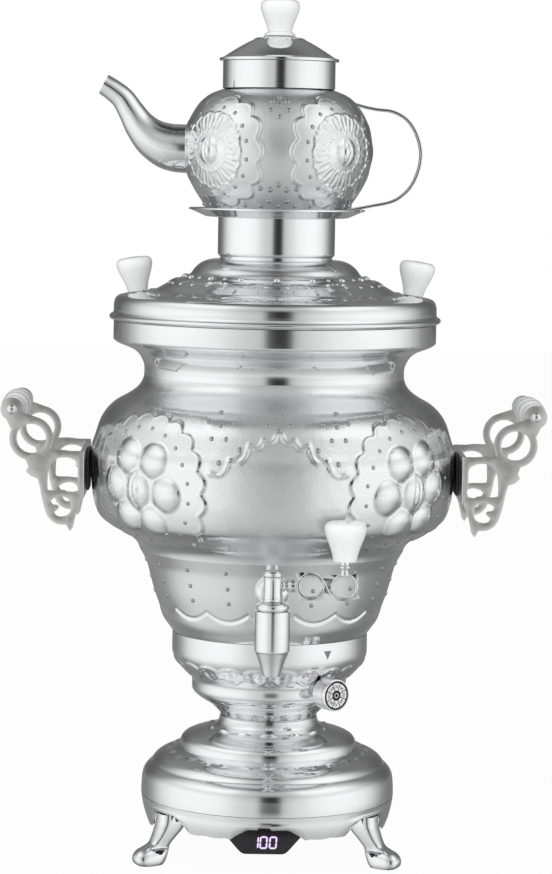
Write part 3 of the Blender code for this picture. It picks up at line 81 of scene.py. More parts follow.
camera_data = bpy.data.cameras.new("camera")
camera_data.sensor_width = sensor_size
camera_data.lens = focal_pixels / image_height * sensor_size
camera = bpy.data.objects.new("camera", camera_data)
bpy.context.scene.collection.objects.link(camera)
turn = Matrix.Rotation(-camera_azimuth - aim_right, 4, "Z")
tilt = Matrix.Rotation(quarter - look_down, 4, "X") @ Matrix.Rotation(camera_roll, 4, "Z")
stand = (-camera_distance * math.sin(camera_azimuth),
         axis_y - camera_distance * math.cos(camera_azimuth), eye_height)
camera.matrix_world = Matrix.Translation(stand) @ turn @ tilt
bpy.context.scene.camera = camera
bpy.context.scene.view_settings.view_transform = "Standard"
print("lens:", round(camera_data.lens, 1), "mm")

# %% [markdown]
# ## The studio
#
# Polished steel has no colour of its own: what it shows is the studio. A photographer lights it
# with large white screens left and right, leaves a dark gap round the lens, and lets the light
# fall off behind the object, so the shells get white flanks, a dark line in front and grey
# edges. Here the world paints that studio for reflections: one table of levels by direction
# round the object, a softer one for what faces down, one without the gap for what faces up,
# and one more by height. For the camera the world is plain white.

# %% Studio world
screen_table = [(-180, 0.34), (-152, 0.14), (-137, 0.24), (-121, 0.58), (-104, 0.94), (-84, 1.10),
                (-62, 1.12), (-46, 1.06), (-34, 0.90), (-22, 0.72), (-13, 0.64), (-7, 0.34), (-2, 0.08),
                (4, 0.04), (9, 0.12), (14, 0.50), (22, 0.72), (34, 0.88), (50, 1.06), (72, 1.12),
                (90, 1.04), (104, 0.84), (120, 0.46), (136, 0.20), (152, 0.14), (180, 0.34)]
low_screen_table = [(-180, 0.26), (-140, 0.26), (-118, 0.55), (-98, 0.94), (-78, 1.08), (-46, 1.04),
                    (-30, 0.86), (-15, 0.74), (0, 0.62), (14, 0.72), (30, 0.84), (46, 0.96), (66, 0.98),
                    (84, 0.76), (100, 0.44), (116, 0.24), (140, 0.18), (180, 0.26)]
high_screen_table = [(-180, 0.26), (-140, 0.26), (-118, 0.60), (-96, 0.96), (-72, 1.10), (-46, 1.08),
                     (-32, 0.86), (-14, 0.60), (0, 0.48), (14, 0.54), (32, 0.84), (50, 1.08), (76, 1.10),
                     (98, 0.84), (118, 0.44), (140, 0.20), (180, 0.26)]
overhead_table = [(-1.0, 0.30), (-0.78, 0.56), (-0.45, 0.82), (-0.22, 1.0), (-0.05, 1.02), (0.14, 0.94),
                  (0.34, 0.84), (0.52, 0.98), (0.70, 1.04), (0.84, 0.78), (0.93, 0.34), (1.0, 0.22)]
low_blend = (-0.14, -5)  # height where the blend starts, and its slope
high_blend = (0.24, 4)
plain_light = 0.6


def add_node(tree, kind, **settings):
    node = tree.nodes.new(kind)
    for name, value in settings.items():
        setattr(node, name, value)
    return node


def math_node(tree, operation, first, second=None):
    node = add_node(tree, "ShaderNodeMath", operation=operation)
    for socket, value in zip(node.inputs, (first, second)):
        if isinstance(value, bpy.types.NodeSocket):
            tree.links.new(value, socket)
        elif value is not None:
            socket.default_value = value
    return node.outputs[0]


def curve_node(tree, value, table, low, high):
    """Look a value up in a table of (place, level) pairs that runs from low to high."""
    reach = math_node(tree, "DIVIDE", math_node(tree, "SUBTRACT", value, low), high - low)
    node = tree.nodes.new("ShaderNodeFloatCurve")
    points = node.mapping.curves[0].points
    top = max(level for place, level in table)
    for index, (place, level) in enumerate(table):
        spot = ((place - low) / (high - low), level / top)
        if index in (0, len(table) - 1):
            points[0 if index == 0 else -1].location = spot
        else:
            points.new(*spot)
    node.mapping.update()
    tree.links.new(reach, node.inputs["Value"])
    return math_node(tree, "MULTIPLY", node.outputs[0], top)


def blend_levels(tree, z, start, slope, first, second):
    """Fade from the first level to the second past a height; with a minus slope, below it."""
    share = tree.nodes.new("ShaderNodeClamp")
    passed = math_node(tree, "SUBTRACT", z, start)
    tree.links.new(math_node(tree, "MULTIPLY", passed, slope), share.inputs["Value"])
    blend = tree.nodes.new("ShaderNodeMix")
    for socket, value in ((0, share.outputs[0]), (2, first), (3, second)):
        tree.links.new(value, blend.inputs[socket])
    return blend.outputs[0]


def mix_shaders(tree, share, first, second):
    node = tree.nodes.new("ShaderNodeMixShader")
    for socket, value in zip(node.inputs, (share, first, second)):
        tree.links.new(value, socket)
    return node.outputs[0]


def build_world():
    world = bpy.data.worlds.new("studio")
    bpy.context.scene.world = world
    world.use_nodes = True
    tree = world.node_tree
    tree.nodes.clear()
    way = tree.nodes.new("ShaderNodeTexCoord").outputs["Generated"]
    parts = tree.nodes.new("ShaderNodeSeparateXYZ")
    tree.links.new(way, parts.inputs[0])
    z = parts.outputs["Z"]
    minus_y = math_node(tree, "MULTIPLY", parts.outputs["Y"], -1)
    degrees = math_node(tree, "DEGREES", math_node(tree, "ARCTAN2", parts.outputs["X"], minus_y))
    level, low_level, high_level = (curve_node(tree, degrees, table, -180, 180)
                                    for table in (screen_table, low_screen_table, high_screen_table))
    level = blend_levels(tree, z, *low_blend, level, low_level)
    level = blend_levels(tree, z, *high_blend, level, high_level)
    level = math_node(tree, "MULTIPLY", level, curve_node(tree, z, overhead_table, -1, 1))
    mirrored = tree.nodes.new("ShaderNodeBackground")
    tree.links.new(level, mirrored.inputs["Color"])
    plain = tree.nodes.new("ShaderNodeBackground")
    plain.inputs["Color"].default_value = (1, 1, 1, 1)
    plain.inputs["Strength"].default_value = plain_light
    white = tree.nodes.new("ShaderNodeBackground")
    white.inputs["Color"].default_value = (1, 1, 1, 1)
    rays = tree.nodes.new("ShaderNodeLightPath")
    seen = math_node(tree, "MAXIMUM", rays.outputs["Is Glossy Ray"], rays.outputs["Is Transmission Ray"])
    shown = mix_shaders(tree, seen, plain.outputs[0], mirrored.outputs[0])
    shown = mix_shaders(tree, rays.outputs["Is Camera Ray"], shown, white.outputs[0])
    output = tree.nodes.new("ShaderNodeOutputWorld")
    tree.links.new(shown, output.inputs[0])


build_world()

# %% [markdown]
# Two soft area lamps give the white plastic and the floor their shading. They stay out of
# reflections, where the world's screens already stand for them.

# %% Lamps and floor
lamp_table = {"key_lamp": ((-1.1, -1.5, 1.5), 1.3, 18), "fill_lamp": ((1.4, -1.2, 0.9), 1.2, 8)}
floor_reach = 6
floor_whiteness = 0.96
floor_clearness = 0.85


def build_lamps():
    target = Vector((0, axis_y, tank_low.z))
    for name, (place, size, power) in lamp_table.items():
        data = bpy.data.lights.new(name, "AREA")
        data.shape = "SQUARE"
        data.size = size
        data.energy = power
        lamp = bpy.data.objects.new(name, data)
        bpy.context.scene.collection.objects.link(lamp)
        lamp.location = place
        lamp.rotation_euler = (target - Vector(place)).to_track_quat("-Z", "Y").to_euler()
        lamp.visible_glossy = False


def build_floor():
    material = bpy.data.materials.new("pale_floor")
    material.use_nodes = True
    tree = material.node_tree
    tree.nodes.clear()
    rays = tree.nodes.new("ShaderNodeLightPath")
    lit = tree.nodes.new("ShaderNodeBsdfDiffuse")
    lit.inputs["Color"].default_value = (0.9, 0.9, 0.9, 1)
    white = tree.nodes.new("ShaderNodeEmission")
    whitened = math_node(tree, "MULTIPLY", rays.outputs["Is Camera Ray"], floor_whiteness)
    shown = mix_shaders(tree, whitened, lit.outputs[0], white.outputs[0])
    clear = tree.nodes.new("ShaderNodeBsdfTransparent")
    cleared = math_node(tree, "MULTIPLY", rays.outputs["Is Glossy Ray"], floor_clearness)
    shown = mix_shaders(tree, cleared, shown, clear.outputs[0])
    output = tree.nodes.new("ShaderNodeOutputMaterial")
    tree.links.new(shown, output.inputs[0])
    mesh = bpy.data.meshes.new("floor")
    corners = [(x * floor_reach, y * floor_reach, 0) for x, y in ((-1, -1), (1, -1), (1, 1), (-1, 1))]
    mesh.from_pydata(corners, [], [(0, 1, 2, 3)])
    mesh.materials.append(material)
    floor = bpy.data.objects.new("floor", mesh)
    bpy.context.scene.collection.objects.link(floor)


build_lamps()
build_floor()
print("lamps:", len(lamp_table))

# %% [markdown]
# ## Finishes
#
# All the materials share one effect, so it is a node group: slow cloudy changes in the polish, and
# very fine grain left by the buffing wheel. Each material sets its own scale and strength. The
# pressed shells have their own steel, because pressing leaves thin sheet slightly rippled. The dots
# get a darker steel: that colour is painted shade, which stands in for the shade on their steep sides.

# %% Finish group and materials
def build_wear_group():
    tree = bpy.data.node_groups.new("polish_wear", "ShaderNodeTree")
    face = tree.interface
    for name, value in (("Cloud Scale", 40.0), ("Grain Scale", 900.0), ("Smooth", 0.06), ("Rough", 0.12)):
        face.new_socket(name, in_out="INPUT", socket_type="NodeSocketFloat").default_value = value
    face.new_socket("Roughness", in_out="OUTPUT", socket_type="NodeSocketFloat")
    face.new_socket("Height", in_out="OUTPUT", socket_type="NodeSocketFloat")
    inputs = tree.nodes.new("NodeGroupInput")
    outputs = tree.nodes.new("NodeGroupOutput")
    place = tree.nodes.new("ShaderNodeTexCoord").outputs["Object"]
    cloud = add_node(tree, "ShaderNodeTexNoise")
    cloud.inputs["Detail"].default_value = 4
    grain = add_node(tree, "ShaderNodeTexNoise")
    grain.inputs["Detail"].default_value = 2
    for noise, scale in ((cloud, "Cloud Scale"), (grain, "Grain Scale")):
        tree.links.new(place, noise.inputs["Vector"])
        tree.links.new(inputs.outputs[scale], noise.inputs["Scale"])
    spread = tree.nodes.new("ShaderNodeMapRange")
    spread.inputs["From Min"].default_value = 0.35
    spread.inputs["From Max"].default_value = 0.65
    tree.links.new(cloud.outputs[0], spread.inputs["Value"])
    tree.links.new(inputs.outputs["Smooth"], spread.inputs["To Min"])
    tree.links.new(inputs.outputs["Rough"], spread.inputs["To Max"])
    tree.links.new(spread.outputs[0], outputs.inputs["Roughness"])
    slow = math_node(tree, "MULTIPLY", cloud.outputs[0], 0.8)
    fine = math_node(tree, "MULTIPLY", grain.outputs[0], 0.2)
    tree.links.new(math_node(tree, "ADD", slow, fine), outputs.inputs["Height"])
    return tree


wear_group = build_wear_group()


def worn_material(name, colour, metallic, polish, scales, dent, dent_depth=0.0002, coat=0.0, glow=0.0):
    material = bpy.data.materials.new(name)
    material.use_nodes = True
    tree = material.node_tree
    shader = tree.nodes["Principled BSDF"]
    wear = add_node(tree, "ShaderNodeGroup", node_tree=wear_group)
    for socket, value in zip(("Cloud Scale", "Grain Scale", "Smooth", "Rough"), (*scales, *polish)):
        wear.inputs[socket].default_value = value
    tree.links.new(wear.outputs["Roughness"], shader.inputs["Roughness"])
    bump = tree.nodes.new("ShaderNodeBump")
    bump.inputs["Strength"].default_value = dent
    bump.inputs["Distance"].default_value = dent_depth
    tree.links.new(wear.outputs["Height"], bump.inputs["Height"])
    tree.links.new(bump.outputs[0], shader.inputs["Normal"])
    shader.inputs["Base Color"].default_value = (*colour, 1)
    shader.inputs["Metallic"].default_value = metallic
    shader.inputs["Coat Weight"].default_value = coat
    shader.inputs["Subsurface Weight"].default_value = glow
    shader.inputs["Subsurface Radius"].default_value = (0.01, 0.01, 0.01)
    shader.inputs["Subsurface Scale"].default_value = 0.5
    return material


# colour, metallic, lowest and highest roughness, cloud and grain scale, dent, dent depth, coat, glow
finish_table = {
    "polished_steel": ((0.83, 0.835, 0.84), 1, (0.045, 0.085), (22, 700), 0.12),
    "embossed_steel": ((0.83, 0.835, 0.84), 1, (0.06, 0.11), (70, 700), 0.6, 0.0008),
    # darker steel for the dots: its colour is painted shade for their shaded sides
    "dot_shade_steel": ((0.46, 0.465, 0.47), 1, (0.10, 0.18), (22, 700), 0.12),
    "satin_silver": ((0.84, 0.84, 0.83), 1, (0.26, 0.36), (60, 1200), 0.25),
    "plated_zinc": ((0.66, 0.66, 0.68), 1, (0.22, 0.38), (50, 900), 0.25),
    "brass_plain": ((0.74, 0.60, 0.34), 1, (0.2, 0.34), (50, 900), 0.2),
    "white_plastic": ((0.93, 0.94, 0.935), 0, (0.16, 0.24), (30, 500), 0.03, 0.0002, 0.4, 0.25),
    "black_plastic": ((0.012, 0.012, 0.014), 0, (0.10, 0.2), (40, 700), 0.03),
    "dial_white": ((0.86, 0.86, 0.86), 0, (0.3, 0.4), (60, 900), 0.03),
    "dial_ink": ((0.004, 0.004, 0.004), 0, (0.5, 0.6), (60, 900), 0.03),
    "etched_grey": ((0.24, 0.24, 0.25), 0.6, (0.4, 0.5), (60, 900), 0.03),
    "grey_rubber": ((0.07, 0.07, 0.07), 0, (0.6, 0.75), (80, 1500), 0.3),
    "board_green": ((0.05, 0.2, 0.09), 0, (0.35, 0.5), (80, 1500), 0.2),
}
finishes = {name: worn_material(name, *values) for name, values in finish_table.items()}


def soften_middle(material, inner, outer, softness):
    """Make the plain panels at the front and back duller, where the sheet is only brushed."""
    tree = material.node_tree
    shader = tree.nodes["Principled BSDF"]
    polish = shader.inputs["Roughness"].links[0].from_socket
    parts = tree.nodes.new("ShaderNodeSeparateXYZ")
    tree.links.new(tree.nodes.new("ShaderNodeTexCoord").outputs["Object"], parts.inputs[0])
    away = math_node(tree, "ABSOLUTE", parts.outputs["X"])
    fade = add_node(tree, "ShaderNodeMapRange", interpolation_type="SMOOTHSTEP")
    for name, value in (("From Min", inner), ("From Max", outer), ("To Min", softness), ("To Max", 0)):
        fade.inputs[name].default_value = value
    tree.links.new(away, fade.inputs["Value"])
    tree.links.new(math_node(tree, "MAXIMUM", fade.outputs[0], polish), shader.inputs["Roughness"])


soften_middle(finishes["embossed_steel"], 0.012, 0.044, 0.40)
for node in frame["record"]["subparts"]:
    held = frame["nodes"][node["node"]]
    held.data.materials.clear()
    held.data.materials.append(finishes[node["material_slot"]])
print("finishes:", len(finishes))

# %% [markdown]
# ## Lines and turned shells
#
# A metal spinner works from one side view of the piece. So does this script: each shell starts
# as a short line of (radius, height) points, which is rounded into a curve, sampled about every
# millimetre and spun. The embossing then pushes the sheet outwards by a height that depends on
# the azimuth and on the distance along the line.

# %% Line helpers
corner_angle = math.radians(42)
weld = 0.00001
sheet = 0.001
gap = 0.0003  # between pieces that touch


def run(start, end, shares):
    """Turn shares of the way across and up into points on the stretch from start to end."""
    width, rise = end[0] - start[0], end[1] - start[1]
    return [(start[0] + width * across, start[1] + rise * up) for across, up in shares]


def arc(centre, radius, start, end, count):
    angles = np.radians(np.linspace(start, end, count + 1))
    return [(centre[0] + radius * math.cos(a), centre[1] + radius * math.sin(a)) for a in angles]


def whole_ring(centre, radius):
    """Return 48 points round a circle."""
    return arc(centre, radius, 0, 352.5, 47)


def catmull_rom(p, q, r, s, steps):
    """Return points on the curve from q to r, whose neighbours are p and s."""
    return [0.5 * (2 * q + (r - p) * t + (2 * p - 5 * q + 4 * r - s) * t ** 2
                   + (3 * q - p - 3 * r + s) * t ** 3)
            for t in np.linspace(0, 1, steps, endpoint=False)]


def curve_through(points, steps):
    """Return a Catmull-Rom curve through points of any dimension."""
    points = np.array(points, float)
    padded = np.vstack([2 * points[0] - points[1], points, 2 * points[-1] - points[-2]])
    line = []
    for p, q, r, s in zip(padded, padded[1:], padded[2:], padded[3:]):
        line += catmull_rom(p, q, r, s, steps)
    return np.array(line + [points[-1]])


def soft_loop(points, steps):
    """Return a closed loop rounded by a Catmull-Rom curve."""
    points = np.array(points, float)
    count = len(points)
    loop = []
    for k in range(count):
        p, q, r, s = (points[(k + j) % count] for j in (-1, 0, 1, 2))
        loop += [tuple(point) for point in catmull_rom(p, q, r, s, steps)]
    return loop


def rounded_stretch(points, step):
    """Return a curve through one stretch of a line, sampled evenly, with its wobble ironed out."""
    points = curve_through(points, 12) if len(points) > 2 else np.array(points, float)
    lengths = np.concatenate([[0], np.cumsum(np.linalg.norm(np.diff(points, axis=0), axis=1))])
    count = max(2, int(round(lengths[-1] / step)) + 1)
    even = np.linspace(0, lengths[-1], count)
    line = np.stack([np.interp(even, lengths, points[:, k]) for k in (0, 1)], axis=1)
    for _ in range(3):
        line[1:-1] = (line[:-2] + 2 * line[1:-1] + line[2:]) / 4
    return line


def smooth_line(points, step):
    """Round a line between its corners and sample it every step."""
    points = [Vector(point) for point in points]
    stretches = [[points[0]]]
    for index in range(1, len(points)):
        stretches[-1].append(points[index])
        if index < len(points) - 1:
            before = points[index] - points[index - 1]
            after = points[index + 1] - points[index]
            long_enough = before.length > weld and after.length > weld
            if long_enough and abs(before.angle_signed(after)) > corner_angle:
                stretches.append([points[index]])
    pieces = [rounded_stretch(stretch, step) for stretch in stretches]
    return np.vstack([pieces[0]] + [piece[1:] for piece in pieces[1:]])


def left_normals(line):
    """Return the unit normals that point away from the axis side of an outward face listed upwards."""
    ways = np.gradient(line, axis=0)
    normals = np.stack([ways[:, 1], -ways[:, 0]], axis=1)
    return normals / np.maximum(np.linalg.norm(normals, axis=1), weld)[:, None]


# %% Mesh helpers
sharp_angle = math.radians(60)


def new_piece(name, verts, faces, finish, body, nodes):
    mesh = bpy.data.meshes.new(name)
    mesh.from_pydata([tuple(v) for v in verts], [], faces)
    return dress_piece(name, mesh, finish, body, nodes)


def dress_piece(name, mesh, finish, body, nodes=(), sharp=sharp_angle):
    mesh.validate()
    mesh.materials.clear()
    mesh.materials.append(finishes[finish])
    mesh.shade_smooth()
    mesh.set_sharp_from_angle(angle=sharp)
    piece = bpy.data.objects.new(name, mesh)
    bpy.context.scene.collection.objects.link(piece)
    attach(piece, body)
    if nodes:
        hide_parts(*nodes)
    return piece


def grid_faces(rows, columns, closed_rows):
    """Return quads over a grid of points whose columns close into a ring."""
    faces = []
    for row in range(rows if closed_rows else rows - 1):
        above = (row + 1) % rows
        for column in range(columns):
            beside = (column + 1) % columns
            faces.append((row * columns + column, row * columns + beside,
                          above * columns + beside, above * columns + column))
    return faces


def weld_mesh(mesh):
    bm = bmesh.new()
    bm.from_mesh(mesh)
    bmesh.ops.remove_doubles(bm, verts=bm.verts, dist=weld)
    bmesh.ops.dissolve_degenerate(bm, edges=bm.edges, dist=weld)
    bmesh.ops.recalc_face_normals(bm, faces=bm.faces)
    bm.to_mesh(mesh)
    bm.free()


def spun_mesh(name, line, columns, step):
    """Spin a closed line of (radius, height) points, listed with the outside going up, into a mesh."""
    loop = smooth_line(line + [line[0]], step)[:-1]
    angles = np.linspace(0, math.tau, columns, endpoint=False)
    rings = np.empty((len(loop), columns, 3))
    rings[..., 0] = loop[:, 0, None] * np.sin(angles)
    rings[..., 1] = -loop[:, 0, None] * np.cos(angles)
    rings[..., 2] = loop[:, 1, None]
    mesh = bpy.data.meshes.new(name)
    mesh.from_pydata(rings.reshape(-1, 3).tolist(), [], grid_faces(len(loop), columns, True))
    weld_mesh(mesh)
    return mesh


def turned(name, line, columns, finish, body, nodes, place=axis, step=0.001):
    """Spin a closed line into a piece."""
    mesh = spun_mesh(name, line, columns, step)
    mesh.transform(place)
    return dress_piece(name, mesh, finish, body, nodes)


def relief_shell(name, line, columns, relief, body, nodes, step, finish="polished_steel"):
    """Spin a sheet of steel whose outer face carries a relief; its inner face stays plain."""
    outer = smooth_line(line, step)
    normals = left_normals(outer)
    along = np.concatenate([[0], np.cumsum(np.linalg.norm(np.diff(outer, axis=0), axis=1))])
    angles = np.linspace(-math.pi, math.pi, columns, endpoint=False)
    lift = relief(angles[None, :], outer[:, 0, None], outer[:, 1, None], along[:, None])
    lift = np.broadcast_to(lift, (len(outer), columns))
    coarse = np.unique(np.linspace(0, len(outer) - 1, max(6, len(outer) // 6)).astype(int))[::-1]
    inner = outer[coarse] - normals[coarse] * sheet
    radius = np.vstack([outer[:, 0, None] + normals[:, 0, None] * lift,
                        np.repeat(inner[:, 0, None], columns, 1)])
    height = np.vstack([outer[:, 1, None] + normals[:, 1, None] * lift,
                        np.repeat(inner[:, 1, None], columns, 1)])
    rings = np.stack([radius * np.sin(angles), -radius * np.cos(angles) + axis_y, height], axis=2)
    faces = grid_faces(len(radius), columns, True)
    new_piece(name, rings.reshape(-1, 3).tolist(), faces, finish, body, nodes)
    print(name, "rows:", len(radius), "columns:", columns)
    return outer, along


# %% [markdown]
# Embossing tools: a punch with a round end makes a dome, a chisel a ridge. Each is a curve that
# starts at full height and runs out smoothly, so the steel reads as pressed and not as cut.

# %% Embossing tools
def dome(distance, radius):
    share = np.clip(distance / radius, 0, 1)
    return (1 - share ** 2) ** 0.75


def ridge(distance, half_width):
    share = np.clip(np.abs(distance) / half_width, 0, 1)
    return (1 - share ** 2) ** 2


def plateau(inside, edge):
    share = np.clip(inside / edge, 0, 1)
    return share * share * (3 - 2 * share)


def wrapped(angle):
    return (angle + math.pi) % math.tau - math.pi


def from_nearest(angle, radius, count):
    """Return the way round the shell from the nearest of a number of even places."""
    step = math.tau / count
    return ((angle / step + 0.5) % 1 - 0.5) * step * radius


def leaf_ring(angle, radius, count, middle, half_size, lean, lift):
    """Return a ring of oval leaves that lean left and right in turn."""
    u = from_nearest(angle, radius, count)
    tilt = lean * np.sign(np.sin(angle * count / 2)) * u / half_size[0]
    return lift * dome(np.hypot(u / half_size[0], (radius - middle + tilt) / half_size[1]), 1)


def hanging_arcs(angle, count):
    """Return 0 at the cusps and 1 at the lowest point of arcs that hang round the shell."""
    share = (angle / math.tau * count + 0.5) % 1
    return 1 - (2 * share - 1) ** 2


def place_medallions(medallion, azimuths, middle_z, reach, angle, radius, height, along):
    """Press a medallion at each azimuth; those on the left are mirrored."""
    lift = np.zeros(np.broadcast(angle, radius).shape)
    v = along - np.interp(middle_z, height[:, 0], along[:, 0]) + 0 * lift
    for azimuth in azimuths:
        u = wrapped(angle - azimuth) * radius * (1 if azimuth > 0 else -1)
        near = np.hypot(u, v) < reach
        lift[near] = medallion(u[near], v[near])
    return lift


# %% [markdown]
# ## The tank
#
# The belly carries four pressed medallions: a scalloped frame, a ring of dots and a flower of six
# round petals about a bud with a slit. At the front and the back a swag of small arcs hangs under
# the neck, and the panel below it stays plain. The belly has a fine grid, because its flowers are
# the smallest forms on the piece; the neck above it is plain, so a coarser grid serves it.

# %% Tank outline
belly_radius = tank_high.x
cone_low, cone_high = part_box("body_lower")
lid_low, lid_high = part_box("lid")
belly_z = tank_low.z + 0.0655
shoulder_z = tank_low.z + 0.105
waist_z = tank_low.z + 0.1235
shoulder_radius = 0.112
waist_radius = 0.0925
rim_radius = 0.1146
rim_low_z = tank_high.z - 0.0135


def belly_line():
    belly = (belly_radius, belly_z)
    shoulder = (shoulder_radius, shoulder_z)
    lower = [(0, 0), (0.04, 0.06), (0.19, 0.145), (0.41, 0.21), (0.68, 0.30), (0.84, 0.39), (0.94, 0.57),
             (0.98, 0.76), (1, 1)]
    upper = [(0.045, 0.20), (0.13, 0.31), (0.255, 0.49), (0.39, 0.67), (0.65, 0.853), (1, 1)]
    flare = [(0.38, 0.22), (0.71, 0.46), (0.88, 0.66), (0.97, 0.84), (1, 1)]
    line = run((cone_high.x, tank_low.z), belly, lower) + run(belly, shoulder, upper)
    return line + run(shoulder, (waist_radius, waist_z), flare)


def neck_line():
    under_rim = [(0, 0), (0.08, 0.25), (0.17, 0.43), (0.35, 0.62), (0.64, 0.77), (0.90, 0.89), (1, 1)]
    line = [(waist_radius, waist_z)] + run((waist_radius, waist_z + 0.007), (rim_radius, rim_low_z),
                                           under_rim)
    return line + [(rim_radius, tank_high.z)]


# %% Medallions of the belly
medallion_azimuths = [math.radians(a) for a in (-135, -45.6, 47.8, 135)]
swag_turn = math.radians(1.2)
medallion_z = 0.2712
frame_radius = 0.0535
frame_scallop = 0.0042
frame_scallops = 21
frame_lift = 0.0013
frame_half_width = 0.0019
panel_lift = 0.0009
petal_ring = 0.0252
petal_radius = 0.0124
petal_lift = 0.0034
bud_radii = (0.0118, 0.0138)
slit_radii = (0.0026, 0.0112)


def bean(u, v, radii, slit, lift):
    """Return an oval boss with a lens-shaped line down its middle."""
    boss = lift * dome(np.hypot(u / radii[0], v / radii[1]), 1)
    edge = slit[0] * np.clip(1 - (v / slit[1]) ** 2, 0, 1)
    groove = 0.0010 * ridge(np.abs(u) - edge, 0.0011) * (np.abs(v) < slit[1])
    return boss - groove * (boss > 0)


def scalloped_frame(u, v, radius, depth, count, lift, half_width, panel):
    reach = np.hypot(u, v)
    edge = radius + depth * (np.abs(np.cos(np.arctan2(v, u) * count / 2)) - 0.6)
    return lift * ridge(reach - edge, half_width) + panel * plateau(edge - reach, half_width)


def belly_medallion(u, v):
    lift = scalloped_frame(u, v, frame_radius, frame_scallop, frame_scallops, frame_lift, frame_half_width,
                           panel_lift)
    petals = np.zeros_like(lift)
    for index in range(6):
        lean = math.tau * index / 6 + math.radians(4)
        du, dv = u - petal_ring * math.cos(lean), v - petal_ring * math.sin(lean)
        petals = np.maximum(petals, petal_lift * dome(np.hypot(du, dv), petal_radius))
    return lift + np.maximum(petals, bean(u, v, bud_radii, slit_radii, 1.2 * petal_lift))


# %% Swags of the belly
swag_cusps = [(0.0015, 0.3128), (0.0105, 0.3090), (0.0200, 0.3055), (0.0335, 0.2952), (0.0475, 0.2866)]
swag_sag = 0.34
swag_lift = 0.0013
swag_half_width = 0.0018
swag_panel_half_width = 0.052
swag_panel_top = 0.324
swag_reach = 0.056
swag_heights = (0.278, 0.326)


def hanging_line(cusps, sag, steps=8):
    """Return points on arcs that hang between the cusps."""
    points = []
    for (u0, z0), (u1, z1) in zip(cusps, cusps[1:]):
        span = math.hypot(u1 - u0, z1 - z0)
        for step in range(steps + 1):
            share = step / steps
            drop = sag * span * 4 * share * (1 - share)
            points.append((u0 + (u1 - u0) * share - 0.25 * drop, z0 + (z1 - z0) * share - 0.9 * drop))
    return points


def line_distance(points, u, v):
    nearest = np.full(np.shape(u), 1.0)
    for (u0, v0), (u1, v1) in zip(points, points[1:]):
        du, dv = u1 - u0, v1 - v0
        share = np.clip(((u - u0) * du + (v - v0) * dv) / max(du * du + dv * dv, 1e-12), 0, 1)
        nearest = np.minimum(nearest, np.hypot(u - u0 - share * du, v - v0 - share * dv))
    return nearest


swag_points = hanging_line(swag_cusps, swag_sag)


def belly_swag(u, z):
    across = np.abs(u)
    lift = swag_lift * ridge(line_distance(swag_points, across, z), swag_half_width)
    edge_z = np.interp(across, [p[0] for p in swag_cusps], [p[1] for p in swag_cusps])
    above = plateau(z - edge_z + 0.0035, 0.002) * plateau(swag_panel_top - z, 0.008)
    above = above * plateau(swag_panel_half_width - across, 0.006)
    return lift + panel_lift * 0.7 * above


def belly_relief(angle, radius, height, along):
    lift = place_medallions(belly_medallion, medallion_azimuths, medallion_z, frame_radius * 1.15, angle,
                            radius, height, along)
    z_all = height + 0 * lift
    for turns in (0, 2):
        u = wrapped(angle - turns * quarter - swag_turn) * radius
        near = (np.abs(u) < swag_reach) & (z_all > swag_heights[0]) & (z_all < swag_heights[1])
        near &= lift < panel_lift / 3
        lift[near] += belly_swag(u[near], z_all[near])
    return lift


curves = {}
curves["belly"] = relief_shell("tank_belly", belly_line(), 730, belly_relief, "samovar", ["body_upper"],
                               0.00136, "embossed_steel")


def plain(angle, radius, height, along):
    return 0 * angle * radius


relief_shell("tank_neck", neck_line(), 240, plain, "samovar", ["body_upper"], 0.0012)

# %% [markdown]
# ## The cone and the burner cup
#
# Below the belly a cone holds the heating element. It has columns of three punched dots, and a
# groove of hanging arcs at its foot. The cup under it hides the wiring, and has a wavy garland
# pressed into its shoulder.

# %% Cone and cup
cup_low, cup_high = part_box("burner_cup")
cone_foot = (0.0788, cone_low.z + 0.0165)
cone_arcs = 16
cone_cusp_z = 0.1835
cone_arc_depth = 0.0062
garland_z = 0.1412
garland_waves = 22
cup_band_radius = 0.0553


def cone_line():
    foot = [(0, 0), (0.14, 0.10), (0.50, 0.38), (0.80, 0.68), (1, 1)]
    side = [(0.30, 0.30), (0.54, 0.62), (0.65, 0.76), (0.74, 0.83), (1, 1)]
    line = run((cup_high.x, cone_low.z), cone_foot, foot)
    return line + run(cone_foot, (cone_high.x, cone_high.z), side)


def cone_relief(angle, radius, height, along):
    line_z = cone_cusp_z - cone_arc_depth * hanging_arcs(angle, cone_arcs)
    away = height - line_z
    border = plateau(-away, 0.0012) * plateau(height - cone_low.z - 0.004, 0.006)
    return 0.0004 * border - 0.0008 * ridge(away, 0.0016)


def cup_line():
    band_z = cup_low.z + 0.0197
    bowl = [(0, 0), (0.08, 0.14), (0.22, 0.29), (0.38, 0.46), (0.66, 0.64), (0.87, 0.81), (0.97, 0.92),
            (1, 1)]
    shoulder = [(0, 0), (0.12, 0.10), (0.36, 0.31), (0.69, 0.58), (0.90, 0.80), (1, 1)]
    line = run((0.0337, cup_low.z), (cup_band_radius, band_z), bowl)
    line += run((cup_band_radius, band_z + 0.0075), (cup_high.x, cup_high.z - 0.0144), shoulder)
    return line + [(cup_high.x, cup_high.z)]


def cup_relief(angle, radius, height, along):
    wave = np.cos(angle * garland_waves)
    upper_z = garland_z - 0.0022 + 0.0030 * np.abs(np.sin(angle * garland_waves / 2)) ** 0.7
    lower_z = garland_z - 0.0080 + 0.0018 * wave
    lines = 0.0011 * ridge(height - upper_z, 0.0014) + 0.0008 * ridge(height - lower_z, 0.0013)
    between = plateau(upper_z - height, 0.0012) * plateau(height - lower_z, 0.0012)
    return lines + 0.0009 * between * (0.5 + 0.5 * np.cos(angle * garland_waves + 0.8) ** 3)


